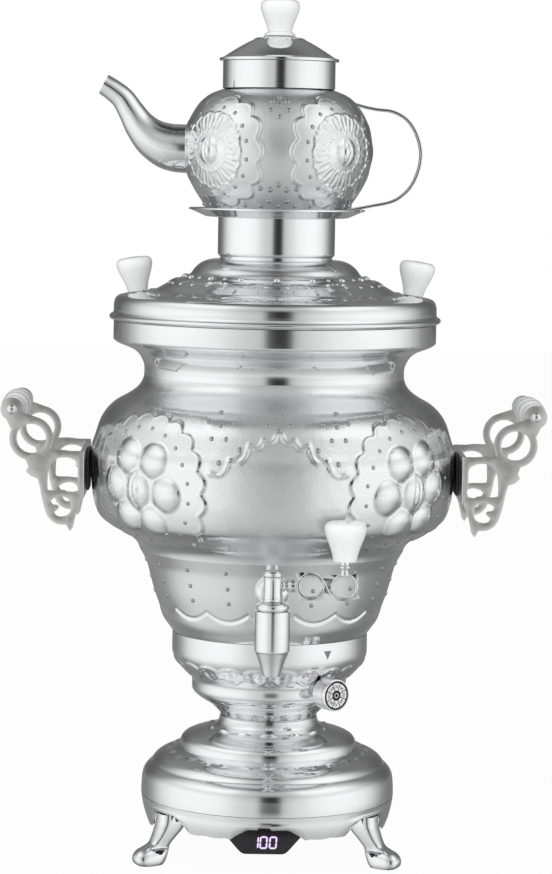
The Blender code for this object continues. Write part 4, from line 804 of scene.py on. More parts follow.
curves["cone"] = relief_shell("cone_shell", cone_line(), 480, cone_relief, "samovar", ["body_lower"], 0.0011)
relief_shell("cup_shell", cup_line(), 440, cup_relief, "samovar", ["burner_cup"], 0.0011)

# %% [markdown]
# ## The base
#
# The base is a dome in steps over a scalloped skirt. Its neck flares at the foot, where short
# raised bars ring it, and its shoulder has a row of small leaves that lean left and right in turn.
# The skirt's edge rises in an arch over each foot and over the display, and hangs lower at the sides.

# %% Base dome
dome_low, dome_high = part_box("base_dome")
skirt_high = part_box("base_skirt")[1]
base_radius = dome_high.x
plateau_edge = (0.0616, dome_high.z - 0.0238)
base_neck_radius = 0.033
base_neck_z = dome_high.z - 0.0096
flare_radius = 0.0400
bar_count = 14
bar_radius = 0.0412
leaf_count = 28


def dome_line():
    shoulder = [(0, 0), (0, 0.12), (0.023, 0.40), (0.082, 0.55), (0.21, 0.67), (0.262, 0.70), (0.452, 0.83),
                (0.52, 0.86), (0.95, 0.97), (1, 1)]
    top = [(0.014, 0.39), (0.074, 0.545), (0.213, 0.67), (0.537, 0.82), (0.861, 0.944), (1, 1)]
    flare = [(0.286, 0.073), (0.53, 0.19), (0.73, 0.375), (0.886, 0.646), (1, 1)]
    line = run((base_radius, dome_low.z), plateau_edge, shoulder)
    line += run(plateau_edge, (flare_radius, base_neck_z), top)
    return line + run((flare_radius, base_neck_z), (base_neck_radius, dome_high.z), flare)


def dome_relief(angle, radius, height, along):
    u = from_nearest(angle, radius, bar_count)
    bars = 0.0020 * dome(np.hypot(u / 0.0060, (radius - bar_radius) / 0.0016), 1)
    leaves = leaf_ring(angle, radius, leaf_count, 0.0705, (0.0050, 0.0020), 0.0016, 0.0009)
    step_ring = 0.0017 * dome(radius - 0.0785, 0.0050)
    above = height > dome_low.z + 0.008
    return bars * (height > plateau_edge[1]) + (leaves * (radius > 0.066) + step_ring) * above


curves["dome"] = relief_shell("base_shell", dome_line(), 480, dome_relief, "samovar", ["base_dome"], 0.0010)

# %% Scalloped skirt
skirt_roll = (0.0902, 0.0395)
skirt_edge_radius = 0.0876
skirt_lobe_z = 0.0270
skirt_side_drop = 0.0055
arch_rise = 0.0108
arches = ((-56.4, 10, 18), (56.4, 18, 10), (180, 18, 18))  # azimuth, half width below it, half width above
front_arch_half_angle = 17
front_arch_rise = 0.0078
front_notch = (-1.6, 5, 0.0094)  # azimuth, half width, rise
edge_wave_rise = 0.0007
edge_waves = 36


def arch_height(away):
    return np.where(away < 1, np.minimum(1, 1.35 * np.cos(np.clip(away, 0, 1) * quarter) ** 0.8), 0)


def skirt_edge(azimuth):
    """Return the height of the skirt's lower edge at azimuths in degrees."""
    from_front = np.abs((azimuth + 180) % 360 - 180)
    rise = front_arch_rise * arch_height(from_front / front_arch_half_angle)
    notch_azimuth, notch_half_angle, notch_rise = front_notch
    from_notch = np.abs((azimuth - notch_azimuth + 180) % 360 - 180)
    rise = np.maximum(rise, notch_rise * arch_height(from_notch / notch_half_angle))
    for centre, half_below, half_above in arches:
        away = (azimuth - centre + 180) % 360 - 180
        half_angle = np.where(away < 0, half_below, half_above)
        rise = np.maximum(rise, arch_rise * arch_height(np.abs(away) / half_angle))
    waves = edge_wave_rise * (1 - np.abs(np.sin(np.radians(azimuth) * edge_waves / 2)))
    lobe_start = arches[1][0] + arches[1][2]
    lobe_end = arches[2][0] - arches[2][1]
    away = np.abs(from_front - (lobe_start + lobe_end) / 2) / ((lobe_end - lobe_start) / 2)
    drop = skirt_side_drop * np.maximum(0, 1 - away ** 8)
    return skirt_lobe_z + np.maximum(rise, waves) - drop


def build_skirt():
    columns = 480
    azimuth = np.linspace(0, 360, columns, endpoint=False)
    edge_z = skirt_edge(azimuth)
    roll_radius, roll_z = skirt_roll
    share = (edge_z - skirt_lobe_z) / (roll_z - skirt_lobe_z)
    tuck = 0.010 * np.minimum(share, 0) ** 2
    edge_radius = skirt_edge_radius + (roll_radius - skirt_edge_radius) * share - tuck
    rows = []
    for step in np.linspace(0, 1, 9):
        crown = 0.0007 * math.sin(math.pi * step)
        radius = edge_radius + (roll_radius - edge_radius) * step + crown
        rows.append((radius, edge_z + (roll_z - edge_z) * step))
    steps = [(step, step) for step in (0.35, 0.7, 0.92, 1)]
    for radius, height in run(skirt_roll, (base_radius, skirt_high.z), steps):
        rows.append((np.full(columns, radius), np.full(columns, height)))
    rows += [(radius - sheet, height) for radius, height in rows[::-1]]
    turns = np.radians(azimuth)
    rings = [np.stack([r * np.sin(turns), axis_y - r * np.cos(turns), z], axis=1) for r, z in rows]
    new_piece("base_skirt_fine", np.concatenate(rings).tolist(), grid_faces(len(rows), columns, True),
              "polished_steel", "samovar", ["base_skirt"])


build_skirt()

# %% [markdown]
# ## The lid and the teapot stand
#
# The lid closes the tank with a rolled bead. Its shoulder rises to a shelf for the two knobs, and
# its dome carries a ring of dots over a wavy line. A collar stands on the lid's spigot and holds
# the saucer for the teapot.

# %% Lid
lid_seat_radius = 0.0398
shelf_leaves = 32


def lid_line():
    bottom = lid_low.z + 0.0075
    bead_top = bottom + 0.0046
    shoulder_top = bead_top + 0.0135
    shelf_radius = 0.088
    shelf = (shelf_radius, shoulder_top + 0.0025)
    step = (0.060, bottom + 0.0335)
    top = (lid_seat_radius, bottom + 0.0439)
    bead = [(0, 0), (0.55, 0.05), (0.88, 0.2), (1, 0.5), (0.88, 0.8), (0.55, 0.95), (0, 1)]
    shoulder = [(0, 0.1), (0, 0.45), (0.035, 0.75), (0.13, 0.93), (0.33, 1)]
    rise = [(0, 0), (0.11, 0.09), (0.38, 0.42), (0.66, 0.70), (0.93, 0.90), (1, 1)]
    crown = [(0.13, 0.38), (0.38, 0.76), (0.68, 0.96), (1, 1)]
    line = run((rim_radius, bottom), (lid_high.x, bead_top), bead)
    line += run((rim_radius, bead_top), (shelf_radius, shoulder_top), shoulder)
    line += run(shelf, step, rise) + run(step, top, crown)
    spigot_z = top[1] + 0.0017
    return line + [(lid_seat_radius, spigot_z), (0.0372, spigot_z), (0.0372, spigot_z + 0.0068)]


def lid_relief(angle, radius, height, along):
    wave = 0.0715 + 0.0020 * hanging_arcs(angle, 16)
    line = 0.0010 * ridge(radius - wave, 0.0013) * (height > lid_low.z + 0.024)
    leaves = leaf_ring(angle, radius, shelf_leaves, 0.0965, (0.0075, 0.0023), 0.0026, 0.0010)
    return line + leaves * (height > lid_low.z + 0.022) * (radius > 0.089)


curves["lid"] = relief_shell("lid_shell", lid_line(), 480, lid_relief, "lid_group", ["lid"], 0.0010)

# %% Stand
collar_low, collar_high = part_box("stand_collar")
saucer_low, saucer_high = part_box("stand_saucer")
roll_z = collar_low.z + 0.003
lip_radius = lid_seat_radius + sheet / 2
collar_line = run((lip_radius, collar_low.z), (collar_high.x, roll_z),
                  [(0, 0), (0.4, 0.06), (0.75, 0.26), (0.93, 0.56), (1, 1)])
collar_line += [(collar_high.x, collar_high.z), (collar_high.x - sheet, collar_high.z),
                (collar_high.x - sheet, roll_z), (0.0376, collar_low.z + sheet), (0.0376, collar_low.z)]
turned("collar_shell", collar_line, 160, "polished_steel", "stand", ["stand_collar"])
saucer_rim = run((0.0485, saucer_low.z), (saucer_high.x, saucer_low.z + 0.0053),
                 [(0, 0), (0.30, 0.25), (0.70, 0.70), (1, 1)])
saucer_top = [(radius - 0.0004, height + sheet) for radius, height in saucer_rim[::-1]]
saucer_line = [(0.030, saucer_low.z)] + saucer_rim + saucer_top + [(0.030, saucer_low.z + sheet)]
turned("saucer_shell", saucer_line, 200, "polished_steel", "stand", ["stand_saucer"])

# %% [markdown]
# ## The teapot
#
# The teapot repeats the tank's medallions at a smaller size: a frame of ogee scallops, a ring of
# dots, a ring of narrow petals and a round bud with a slit.

# %% Teapot body
pot_low, pot_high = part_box("teapot_body")
pot_medallion_z = 0.5030
pot_azimuths = [math.radians(a) for a in (-134, -46, 43.4, 136)]
pot_frame_radius = 0.0405
pot_bud_radii = (0.0098, 0.0098)
pot_slit_radii = (0.0026, 0.0086)
pot_petals = 18


def pot_line():
    widest = (pot_high.x, pot_low.z + 0.0455)
    lower = [(0, 0), (0.08, 0.008), (0.15, 0.034), (0.21, 0.08), (0.28, 0.15), (0.44, 0.26), (0.64, 0.41),
             (0.80, 0.56), (0.95, 0.80), (1, 1)]
    upper = [(0.02, 0.19), (0.09, 0.40), (0.21, 0.58), (0.40, 0.77), (0.66, 0.91), (1, 1)]
    line = [(0.0006, pot_low.z)] + run((0.0455, pot_low.z), widest, lower)
    return line + run(widest, (0.0385, pot_high.z), upper)


def pot_medallion(u, v):
    reach = np.hypot(u, v)
    angle = np.arctan2(v, u)
    lift = scalloped_frame(u, v, pot_frame_radius, 0.0042, 14, 0.0011, 0.0017, 0.0008)
    share = (angle / math.tau * pot_petals) % 1 - 0.5
    width = 0.0022 * np.clip(1 - ((reach - 0.0205) / 0.0068) ** 2, 0, 1) ** 0.5
    petals = 0.0007 * ridge(np.abs(share * math.tau / pot_petals * reach) - width, 0.0009) * (width > 0)
    crown = 0.0008 * ridge(reach - 0.0262 - 0.0008 * np.cos(angle * pot_petals), 0.001)
    collar = 0.0006 * dome(reach, 0.0165)
    bud = bean(u, v, pot_bud_radii, pot_slit_radii, 0.0026)
    return lift + np.maximum(petals, crown) + np.maximum(collar, bud)


def pot_relief(angle, radius, height, along):
    return place_medallions(pot_medallion, pot_azimuths, pot_medallion_z, 0.046, angle, radius, height, along)


curves["pot"] = relief_shell("pot_shell", pot_line(), 550, pot_relief, "teapot", ["teapot_body"], 0.00104,
                             "embossed_steel")

# %% Teapot neck and lid
band_low, band_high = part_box("teapot_neck")
band = [(band_high.x, band_low.z), (band_high.x, band_high.z), (band_high.x - sheet, band_high.z),
        (band_high.x - sheet, band_low.z)]
turned("pot_band", band, 160, "polished_steel", "teapot", ["teapot_neck"])
pot_lid_low, pot_lid_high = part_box("teapot_lid")
pot_lid_bottom = pot_lid_low.z + 0.008
pot_lid_flange_z = pot_lid_bottom + 0.0022
pot_lid_marks = 28


def pot_lid_line():
    edge = pot_lid_high.x
    flange = [(0, 0), (0.7, 0.1), (1, 0.5), (0.7, 0.9)]
    line = [(0.0388, pot_lid_bottom)] + run((edge - 0.0008, pot_lid_bottom), (edge, pot_lid_flange_z), flange)
    rise = [(0.04, 0.0), (0.09, 0.03), (0.20, 0.18), (0.42, 0.47), (0.68, 0.77), (0.88, 0.93), (1, 1)]
    return line + run((edge, pot_lid_flange_z), (0.0105, pot_lid_high.z), rise)


def pot_lid_relief(angle, radius, height, along):
    share = (angle / math.tau * pot_lid_marks + 0.5) % 1 - 0.5
    mark = np.hypot(share * math.tau / pot_lid_marks * radius / 0.0011, (radius - 0.0165) / 0.0024)
    return 0.0006 * dome(mark, 1) * (height > pot_lid_flange_z + 0.004)


relief_shell("pot_lid_shell", pot_lid_line(), 320, pot_lid_relief, "teapot_lid_group", ["teapot_lid"], 0.0008)

# %% [markdown]
# ## Dots
#
# The punched dots all have one shape, so Geometry Nodes place one small dome on each spot. A mesh
# of loose points carries the way each dot faces and its size; the tree puts a dome on every
# point, turns it to face outwards, and makes the result real so that it can be exported.

# %% Dot tree
def build_dot_tree():
    tree = bpy.data.node_groups.new("punched_dots", "GeometryNodeTree")
    face = tree.interface
    face.new_socket("Points", in_out="INPUT", socket_type="NodeSocketGeometry")
    face.new_socket("Dot Radius", in_out="INPUT", socket_type="NodeSocketFloat").default_value = 0.0015
    face.new_socket("Dot Height", in_out="INPUT", socket_type="NodeSocketFloat").default_value = 0.001
    face.new_socket("Finish", in_out="INPUT", socket_type="NodeSocketMaterial")
    face.new_socket("Dots", in_out="OUTPUT", socket_type="NodeSocketGeometry")
    link = tree.links.new
    inputs = tree.nodes.new("NodeGroupInput")
    outputs = tree.nodes.new("NodeGroupOutput")
    ball = tree.nodes.new("GeometryNodeMeshUVSphere")
    ball.inputs["Segments"].default_value = 12
    ball.inputs["Rings"].default_value = 6
    ball.inputs["Radius"].default_value = 1
    shape = tree.nodes.new("ShaderNodeCombineXYZ")
    link(inputs.outputs["Dot Radius"], shape.inputs[0])
    link(inputs.outputs["Dot Radius"], shape.inputs[1])
    link(inputs.outputs["Dot Height"], shape.inputs[2])
    sized = tree.nodes.new("GeometryNodeTransform")
    link(ball.outputs["Mesh"], sized.inputs["Geometry"])
    link(shape.outputs[0], sized.inputs["Scale"])
    way = add_node(tree, "GeometryNodeInputNamedAttribute", data_type="FLOAT_VECTOR")
    way.inputs["Name"].default_value = "way"
    size = add_node(tree, "GeometryNodeInputNamedAttribute", data_type="FLOAT")
    size.inputs["Name"].default_value = "size"
    lean = add_node(tree, "FunctionNodeAlignRotationToVector", axis="Z")
    link(way.outputs["Attribute"], lean.inputs["Vector"])
    placed = tree.nodes.new("GeometryNodeInstanceOnPoints")
    link(inputs.outputs["Points"], placed.inputs["Points"])
    link(sized.outputs["Geometry"], placed.inputs["Instance"])
    link(lean.outputs["Rotation"], placed.inputs["Rotation"])
    link(size.outputs["Attribute"], placed.inputs["Scale"])
    real = tree.nodes.new("GeometryNodeRealizeInstances")
    link(placed.outputs["Instances"], real.inputs["Geometry"])
    coat = tree.nodes.new("GeometryNodeSetMaterial")
    link(real.outputs["Geometry"], coat.inputs["Geometry"])
    link(inputs.outputs["Finish"], coat.inputs["Material"])
    link(coat.outputs["Geometry"], outputs.inputs[0])
    return tree


dot_tree = build_dot_tree()


def set_inputs(modifier, values):
    for item in modifier.node_group.interface.items_tree:
        if item.in_out == "INPUT" and item.name in values:
            modifier[item.identifier] = values[item.name]


def spots_on(curve, places):
    """Turn (azimuth, kind, value, size) rows into points on a shell, with the way they face.

    The value is a height for kind z, a radius for kind r and a way along the line for kind s.
    """
    line, along = curves[curve]
    normals = left_normals(line)
    rows = []
    for azimuth, kind, value, size in places:
        if kind == "z":
            order = np.argmin(np.abs(line[:, 1] - value))
        elif kind == "r":
            high = line[:, 1] > line[:, 1].mean()
            order = np.argmin(np.abs(line[:, 0] - value) + (~high) * 1.0)
        else:
            order = np.argmin(np.abs(along - value))
        order = int(order)
        radius, height = line[order]
        across, up = normals[order]
        turn = (math.sin(azimuth), -math.cos(azimuth))
        spot = (radius * turn[0], radius * turn[1] + axis_y, height)
        rows.append((spot, (across * turn[0], across * turn[1], up), size))
    return rows


def add_dots(name, rows, body, nodes, radius, height, finish="polished_steel"):
    mesh = bpy.data.meshes.new(name)
    mesh.from_pydata([row[0] for row in rows], [], [])
    ways = [part for row in rows for part in row[1]]
    mesh.attributes.new("way", "FLOAT_VECTOR", "POINT").data.foreach_set("vector", ways)
    mesh.attributes.new("size", "FLOAT", "POINT").data.foreach_set("value", [row[2] for row in rows])
    points = bpy.data.objects.new(name + "_points", mesh)
    bpy.context.scene.collection.objects.link(points)
    steps = points.modifiers.new("dots", "NODES")
    steps.node_group = dot_tree
    set_inputs(steps, {"Dot Radius": radius, "Dot Height": height, "Finish": finishes[finish]})
    graph = bpy.context.evaluated_depsgraph_get()
    real = bpy.data.meshes.new_from_object(points.evaluated_get(graph))
    bpy.data.objects.remove(points)
    real.name = name
    dress_piece(name, real, finish, body, nodes)
    print(name, "dots:", len(rows))


# %% Dots of the tank, cone, lid, base and teapot
def medallion_dots(curve, azimuths, middle, radius, count):
    """Return the spots of a ring of dots round each medallion."""
    line, along = curves[curve]
    start = np.interp(middle, line[:, 1], along)
    rows = []
    for azimuth in azimuths:
        mirror = 1 if azimuth > 0 else -1
        for index in range(count):
            angle = math.tau * (index + 0.5) / count
            reach = start + radius * math.sin(angle)
            if 0.003 < reach < along[-1] - 0.002:
                local = np.interp(reach, along, line[:, 0])
                rows.append((azimuth + mirror * radius * math.cos(angle) / local, "s", reach, 1.0))
    return rows


def panel_dots(curve, dots, swing=0.0):
    """Return the spots of (across, height, size) dots of a panel, mirrored, at the front and at the back."""
    line = curves[curve][0]
    rows = []
    for turns in (0, 2):
        for u, z, size in dots:
            away = math.asin(u / np.interp(z, line[:, 1], line[:, 0]))
            for side in (-1, 1) if u > 0 else (1,):
                rows.append((turns * quarter + swing + side * away, "z", z, size))
    return rows


front_dots = [(0.0024, 0.3247, 0.8), (0.0077, 0.3180, 0.9), (0.0, 0.3153, 0.9), (0.0388, 0.3262, 1.0),
              (0.0470, 0.3193, 1.0), (0.0390, 0.3170, 1.0), (0.0300, 0.3193, 0.9), (0.0450, 0.3090, 1.0),
              (0.0355, 0.3090, 1.0), (0.0262, 0.3028, 1.1), (0.0400, 0.2938, 1.1)]
belly_places = medallion_dots("belly", medallion_azimuths, medallion_z, 0.0432, 20)
belly_places += panel_dots("belly", front_dots, swag_turn)
# The tank, cone, base and teapot dots use the darker steel, whose colour is painted shade.
add_dots("tank_dots", spots_on("belly", belly_places), "samovar", ["body_upper"], 0.0020, 0.0015,
         "dot_shade_steel")

cone_places = []
cone_columns = 18
for column in range(cone_columns):
    for z in (0.2126, 0.2018, 0.1911):
        cone_places.append((math.tau * column / cone_columns - 0.014, "z", z, 1.0))
add_dots("cone_dots", spots_on("cone", cone_places), "samovar", ["body_lower"], 0.0017, 0.0010,
         "dot_shade_steel")

lid_places = []
for k in range(shelf_leaves):
    lid_places.append((math.tau * k / shelf_leaves, "r", 0.0645, 1.0 if k % 2 == 0 else 0.6))
for k in range(shelf_leaves):
    lid_places.append((math.tau * (k + 0.5) / shelf_leaves, "r", 0.0925, 0.55))
add_dots("lid_dots", spots_on("lid", lid_places), "lid_group", ["lid"], 0.0024, 0.0015)

base_places = []
for pair in range(12):
    for side in (-1, 1):
        base_places.append((math.tau * (pair + 0.5) / 12 + side * 0.07, "r", 0.0505, 0.9))
base_places += [(math.tau * k / 16, "r", 0.0565, 0.6) for k in range(16)]
base_places += [(math.tau * (k + 0.5) / leaf_count, "r", 0.0705, 0.6) for k in range(leaf_count)]
add_dots("base_dots", spots_on("dome", base_places), "samovar", ["base_dome"], 0.0017, 0.0013,
         "dot_shade_steel")

pot_front = [(0.0052, 0.5372, 0.9), (0.0, 0.5400, 0.9), (0.0062, 0.5310, 0.9), (0.0, 0.5345, 0.8),
             (0.0, 0.5268, 0.9), (0.0058, 0.4762, 1.1), (0.0, 0.4800, 1.1), (0.0062, 0.4690, 1.0),
             (0.0125, 0.4775, 1.0)]
pot_places = medallion_dots("pot", pot_azimuths, pot_medallion_z, 0.0313, 16)
pot_places += panel_dots("pot", pot_front)
pot_places += [(math.tau * k / 28, "z", 0.4655, 0.8) for k in range(28)]
add_dots("pot_dots", spots_on("pot", pot_places), "teapot", ["teapot_body"], 0.0020, 0.0014, "dot_shade_steel")

# %% [markdown]
# ## Spout and handle of the teapot
#
# The spout is a swan neck, pressed in two halves and welded: a tube whose radius shrinks along a
# curved path. The handle is a flat strap of spring steel bent to a bow.

# %% Tubes
def rings_along(path, profile_at):
    """Return rings of points about a path in the XZ plane; the profile gives (sideways, outwards)."""
    ways = np.gradient(path, axis=0)
    rings = []
    for index, (centre, way) in enumerate(zip(path, ways)):
        way = Vector(way).normalized()
        out = Vector((0, 1, 0)).cross(way)
        rings.append([Vector(centre) + Vector((0, side, 0)) + out * lift for side, lift in profile_at(index)])
    return rings


def circle(radius, count):
    turns = [math.tau * k / count for k in range(count)]
    return [(radius * math.cos(turn), radius * math.sin(turn)) for turn in turns]


def skin_mesh(name, rings, closed=False):
    """Skin rings of equal point count; ends are capped unless the rings close on themselves."""
    count = len(rings[0])
    verts = [tuple(point) for ring in rings for point in ring]
    faces = grid_faces(len(rings), count, closed)
    if not closed:
        faces += [tuple(range(count))[::-1], tuple(range((len(rings) - 1) * count, len(rings) * count))]
    mesh = bpy.data.meshes.new(name)
    mesh.from_pydata(verts, [], faces)
    weld_mesh(mesh)
    return mesh


spout_tip = (-0.1235, 0, pot_low.z + 0.0905)
spout_root = (-0.0612, 0, pot_low.z + 0.046)
spout_table = [(0, 0, 1), (0.17, 0.01, 0.97), (0.30, 0.055, 0.88), (0.45, 0.17, 0.66), (0.58, 0.35, 0.40),
               (0.68, 0.56, 0.21), (0.78, 0.77, 0.10), (0.89, 0.90, 0.04), (1, 1, 0)]


def build_spout():
    rows = []
    for across, up, width in spout_table:
        rows.append((spout_root[0] + (spout_tip[0] - spout_root[0]) * across, 0,
                     spout_root[2] + (spout_tip[2] - spout_root[2]) * up, 0.0073 + (0.0172 - 0.0073) * width))
    line = curve_through(rows, 12)
    radii = line[:, 3]
    outer = rings_along(line[:, :3], lambda k: circle(radii[k], 48))
    inner = rings_along(line[:, :3], lambda k: circle(radii[k] - 0.0011, 48))
    slant = Vector((-0.55, 0, 0.35)).normalized()
    for ring in (outer[-1], inner[-1]):
        middle = sum(ring, Vector()) / len(ring)
        for point in ring:
            point += slant * (point - middle).dot(Vector((0.35, 0, 0.94))) * 0.10
    mesh = skin_mesh("pot_spout", outer + inner[::-1], True)
    mesh.transform(axis)
    dress_piece("pot_spout", mesh, "polished_steel", "teapot", ["teapot_spout"])


def rounded_strip(half_width, half_thickness, radius, count=5):
    corners = []
    for sx, sy, start in ((1, 1, 0), (-1, 1, 90), (-1, -1, 180), (1, -1, 270)):
        for k in range(count + 1):
            angle = math.radians(start + 90 * k / count)
            corners.append((sx * (half_width - radius) + radius * math.cos(angle),
                            sy * (half_thickness - radius) + radius * math.sin(angle)))
    return corners


def build_strap():
    shares = [(0.50, 0.905), (0.60, 0.872), (0.69, 0.853), (0.80, 0.838), (0.895, 0.781), (0.962, 0.677),
              (1.0, 0.53), (0.988, 0.386), (0.94, 0.256), (0.87, 0.170), (0.79, 0.120), (0.66, 0.088),
              (0.50, 0.052)]
    height = pot_high.z - pot_low.z
    path = curve_through([(across * 0.101, 0, pot_low.z + up * height) for across, up in shares], 10)
    strip = rounded_strip(0.005, 0.001, 0.0006)
    mesh = skin_mesh("pot_strap", rings_along(path, lambda k: strip))
    mesh.transform(axis)
    dress_piece("pot_strap", mesh, "polished_steel", "teapot", ["teapot_handle"])


build_spout()
build_strap()

# %% [markdown]
# ## White knobs
#
# The knobs are moulded in milky white plastic: a narrow foot that swells to a flat-topped bulb.
# One line serves all four, and only the size changes.

# %% Knobs
knob_shares = [(0.56, 0), (0.57, 0.05), (0.60, 0.12), (0.66, 0.24), (0.77, 0.40), (0.89, 0.56),
               (0.975, 0.70), (1, 0.79), (0.985, 0.87), (0.92, 0.93), (0.80, 0.965), (0.62, 0.985),
               (0.58, 0.978), (0.40, 0.985), (0.2, 0.995), (0, 1)]


def knob_line(radius, height):
    return [(0, 0)] + [(across * radius, up * height) for across, up in knob_shares]


def tilted_place(name, side):
    """Return the seat of a lid knob: its box gives the middle, and the shelf its small lean."""
    low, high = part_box(name)
    lean = math.atan2(0.0025, 0.0178)
    middle = (low + high) / 2
    half = (high.z - low.z) / 2
    seat = Matrix.Translation((middle.x - side * math.sin(lean) * half * 0.9, middle.y, low.z + 0.0009))
    return seat @ Matrix.Rotation(side * lean, 4, "Y")


for name, side in (("left", -1), ("right", 1)):
    turned(name + "_lid_knob", knob_line(0.0127, 0.0245), 72, "white_plastic", "lid_group",
           ["lid_knob_" + name], tilted_place("lid_knob_" + name, side), 0.0007)
top_low, top_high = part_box("teapot_lid_knob")
flange = [(0, 0), (0.0108, 0), (0.0110, 0.0011), (0.0100, 0.0022), (0.0080, 0.0030)]
crown = [(r, z) for r, z in knob_line(top_high.x, top_high.z - top_low.z)[1:] if z > 0.0031]
turned("pot_knob", flange + crown, 72, "white_plastic", "teapot_lid_group", ["teapot_lid_knob"],
       Matrix.Translation((0, axis_y, top_low.z)), 0.0007)
lever_knob_low, lever_knob_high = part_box("tap_lever_knob")
lever_knob_middle = (lever_knob_low + lever_knob_high) / 2
turned("tap_knob", knob_line(0.0142, 0.0272), 80, "white_plastic", "tap_handle", ["tap_lever_knob"],
       Matrix.Translation((lever_knob_middle.x, lever_knob_middle.y, lever_knob_low.z)), 0.0007)

# %% [markdown]
# ## Feet
#
# Each foot is a cast cabriole leg, bright all over. Level slices from the seat down to the paw
# carry its shape, and a curve through the slices makes it round.

# %% Feet
foot_slices = [(1.0, -1.0, 1.0, 1.0), (0.82, -0.86, 1.05, 1.0), (0.68, -0.62, 1.20, 0.94),
               (0.55, -0.20, 1.38, 0.83), (0.42, 0.18, 1.66, 0.70), (0.345, 0.30, 2.18, 0.67),
               (0.30, 0.34, 2.51, 0.78), (0.20, 0.46, 2.77, 0.91), (0.08, 0.64, 2.77, 0.93),
               (0.0, 0.82, 2.48, 0.78)]
foot_height = 0.0364
foot_seat_radius = 0.0778
foot_half = 0.01072
foot_cap_size = 0.86


def build_foot(name, azimuth, node):
    rings = []
    for up, inner, outer, width in curve_through(foot_slices, 6):
        low = foot_seat_radius + inner * foot_half
        high = foot_seat_radius + outer * foot_half
        ring = []
        for k in range(40):
            angle = math.tau * k / 40
            c, s = math.cos(angle), math.sin(angle)
            out = math.copysign(abs(c) ** 0.7, c) * (high - low) / 2
            across = math.copysign(abs(s) ** 0.7, s) * width * 0.009
            ring.append(Vector((across, -((low + high) / 2 + out), max(up, 0) * foot_height)))
        rings.append(ring)
    caps = []
    for ring, nudge in ((rings[0], -0.0006), (rings[-1], 0.0008)):
        middle = sum(ring, Vector()) / len(ring)
        caps.append([middle + (point - middle) * foot_cap_size for point in ring])
        for point in ring:
            point.z += nudge
    rings = [caps[0], *rings, caps[1]]
    mesh = skin_mesh(name, rings)
    mesh.transform(axis @ Matrix.Rotation(math.radians(azimuth), 4, "Z"))
    dress_piece(name, mesh, "polished_steel", "samovar", [node])


build_foot("left_foot", -60, "foot_left")
build_foot("right_foot", 60, "foot_right")
build_foot("back_foot", 180, "foot_back")

# %% [markdown]
# ## The tap
#
# The tap is a chromed brass barrel on a collar over a long nozzle. A filigree lever of two rings,
# joined by an S-shaped leaf with thorns, turns the cross shaft, and its knob keeps fingers cool.
# Turned pieces are spun from a line, and the lever is cut from a plate and dressed with beads.

# %% Turned pieces of the tap
nozzle_low, nozzle_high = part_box("tap_nozzle")
valve = Matrix.Translation(((nozzle_low + nozzle_high) / 2).to_2d().to_3d())
cap_low, cap_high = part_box("tap_cap")
collar_z = nozzle_high.z + gap
cap_seat = cap_low.z + 0.0025
barrel_top = cap_seat - gap
barrel_line = [(0.0, collar_z - 0.006), (0.0088, collar_z - 0.006), (0.0088, collar_z), (0.0108, collar_z),
               (0.0112, collar_z + 0.0008), (0.0112, collar_z + 0.0034), (0.0104, collar_z + 0.0046),
               (0.0086, collar_z + 0.0056), (0.0072, collar_z + 0.0064), (0.0067, collar_z + 0.0075),
               (0.0064, collar_z + 0.0095), (0.0064, barrel_top - 0.0012), (0.0068, barrel_top - 0.0006),
               (0.0068, barrel_top), (0.0, barrel_top)]
cap_line = [(0, cap_seat), (0.0069, cap_seat), (0.0070, cap_low.z + 0.0034),
            (0.0064, cap_low.z + 0.0045), (0.0050, cap_low.z + 0.0058), (0.0029, cap_low.z + 0.0065),
            (0, cap_high.z)]
nozzle_shoulder = nozzle_high.z - 0.0265
nozzle_line = [(0.0046, nozzle_low.z), (0.0058, nozzle_low.z), (0.0061, nozzle_low.z + 0.0008),
               (0.0084, nozzle_low.z + 0.0085), (0.0116, nozzle_shoulder - 0.0012),
               (0.0121, nozzle_shoulder + 0.0006), (0.0121, nozzle_high.z - 0.0016),
               (0.0119, nozzle_high.z - 0.0006), (0.0111, nozzle_high.z), (0.0091, nozzle_high.z),
               (0.0091, nozzle_high.z - 0.006), (0.0080, nozzle_shoulder), (0.0044, nozzle_low.z + 0.002)]
turned("tap_nozzle_fine", nozzle_line, 72, "polished_steel", "samovar", ["tap_nozzle"], valve, 0.0006)
turned("tap_cap_fine", cap_line, 64, "polished_steel", "samovar", ["tap_cap"], valve, 0.0004)
turned("tap_barrel", barrel_line, 64, "polished_steel", "samovar", ["tap_body"], valve, 0.0006)
inlet_z = 0.2015
cone_outline = curves["cone"][0]
cone_wall = float(np.interp(inlet_z, cone_outline[:, 1], cone_outline[:, 0]))
inlet_place = axis @ Matrix.Translation((0, -cone_wall, inlet_z)) @ Matrix.Rotation(quarter, 4, "X")
inlet_line = [(0, -0.004), (0.0054, -0.004), (0.0054, 0.030), (0.0054, 0.0325), (0.0075, 0.0345),
              (0.0075, 0.0375), (0, 0.0375)]
turned("tap_inlet", inlet_line, 56, "polished_steel", "samovar", ["tap_body"], inlet_place, 0.0006)
rosette_line = [(0.0057, -0.002), (0.0120, -0.002), (0.0120, 0.0016), (0.0116, 0.0034), (0.0103, 0.0054),
                (0.0086, 0.0068), (0.0072, 0.0075), (0.0057, 0.0075)]
turned("tap_rosette_fine", rosette_line, 64, "polished_steel", "samovar", ["tap_rosette"], inlet_place,
       0.0005)
shaft_low, shaft_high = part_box("tap_shaft")
shaft_z = (shaft_low.z + shaft_high.z) / 2
tap_y = valve.translation.y
shaft_place = Matrix.Translation((0, tap_y, shaft_z)) @ Matrix.Rotation(quarter, 4, "Y")
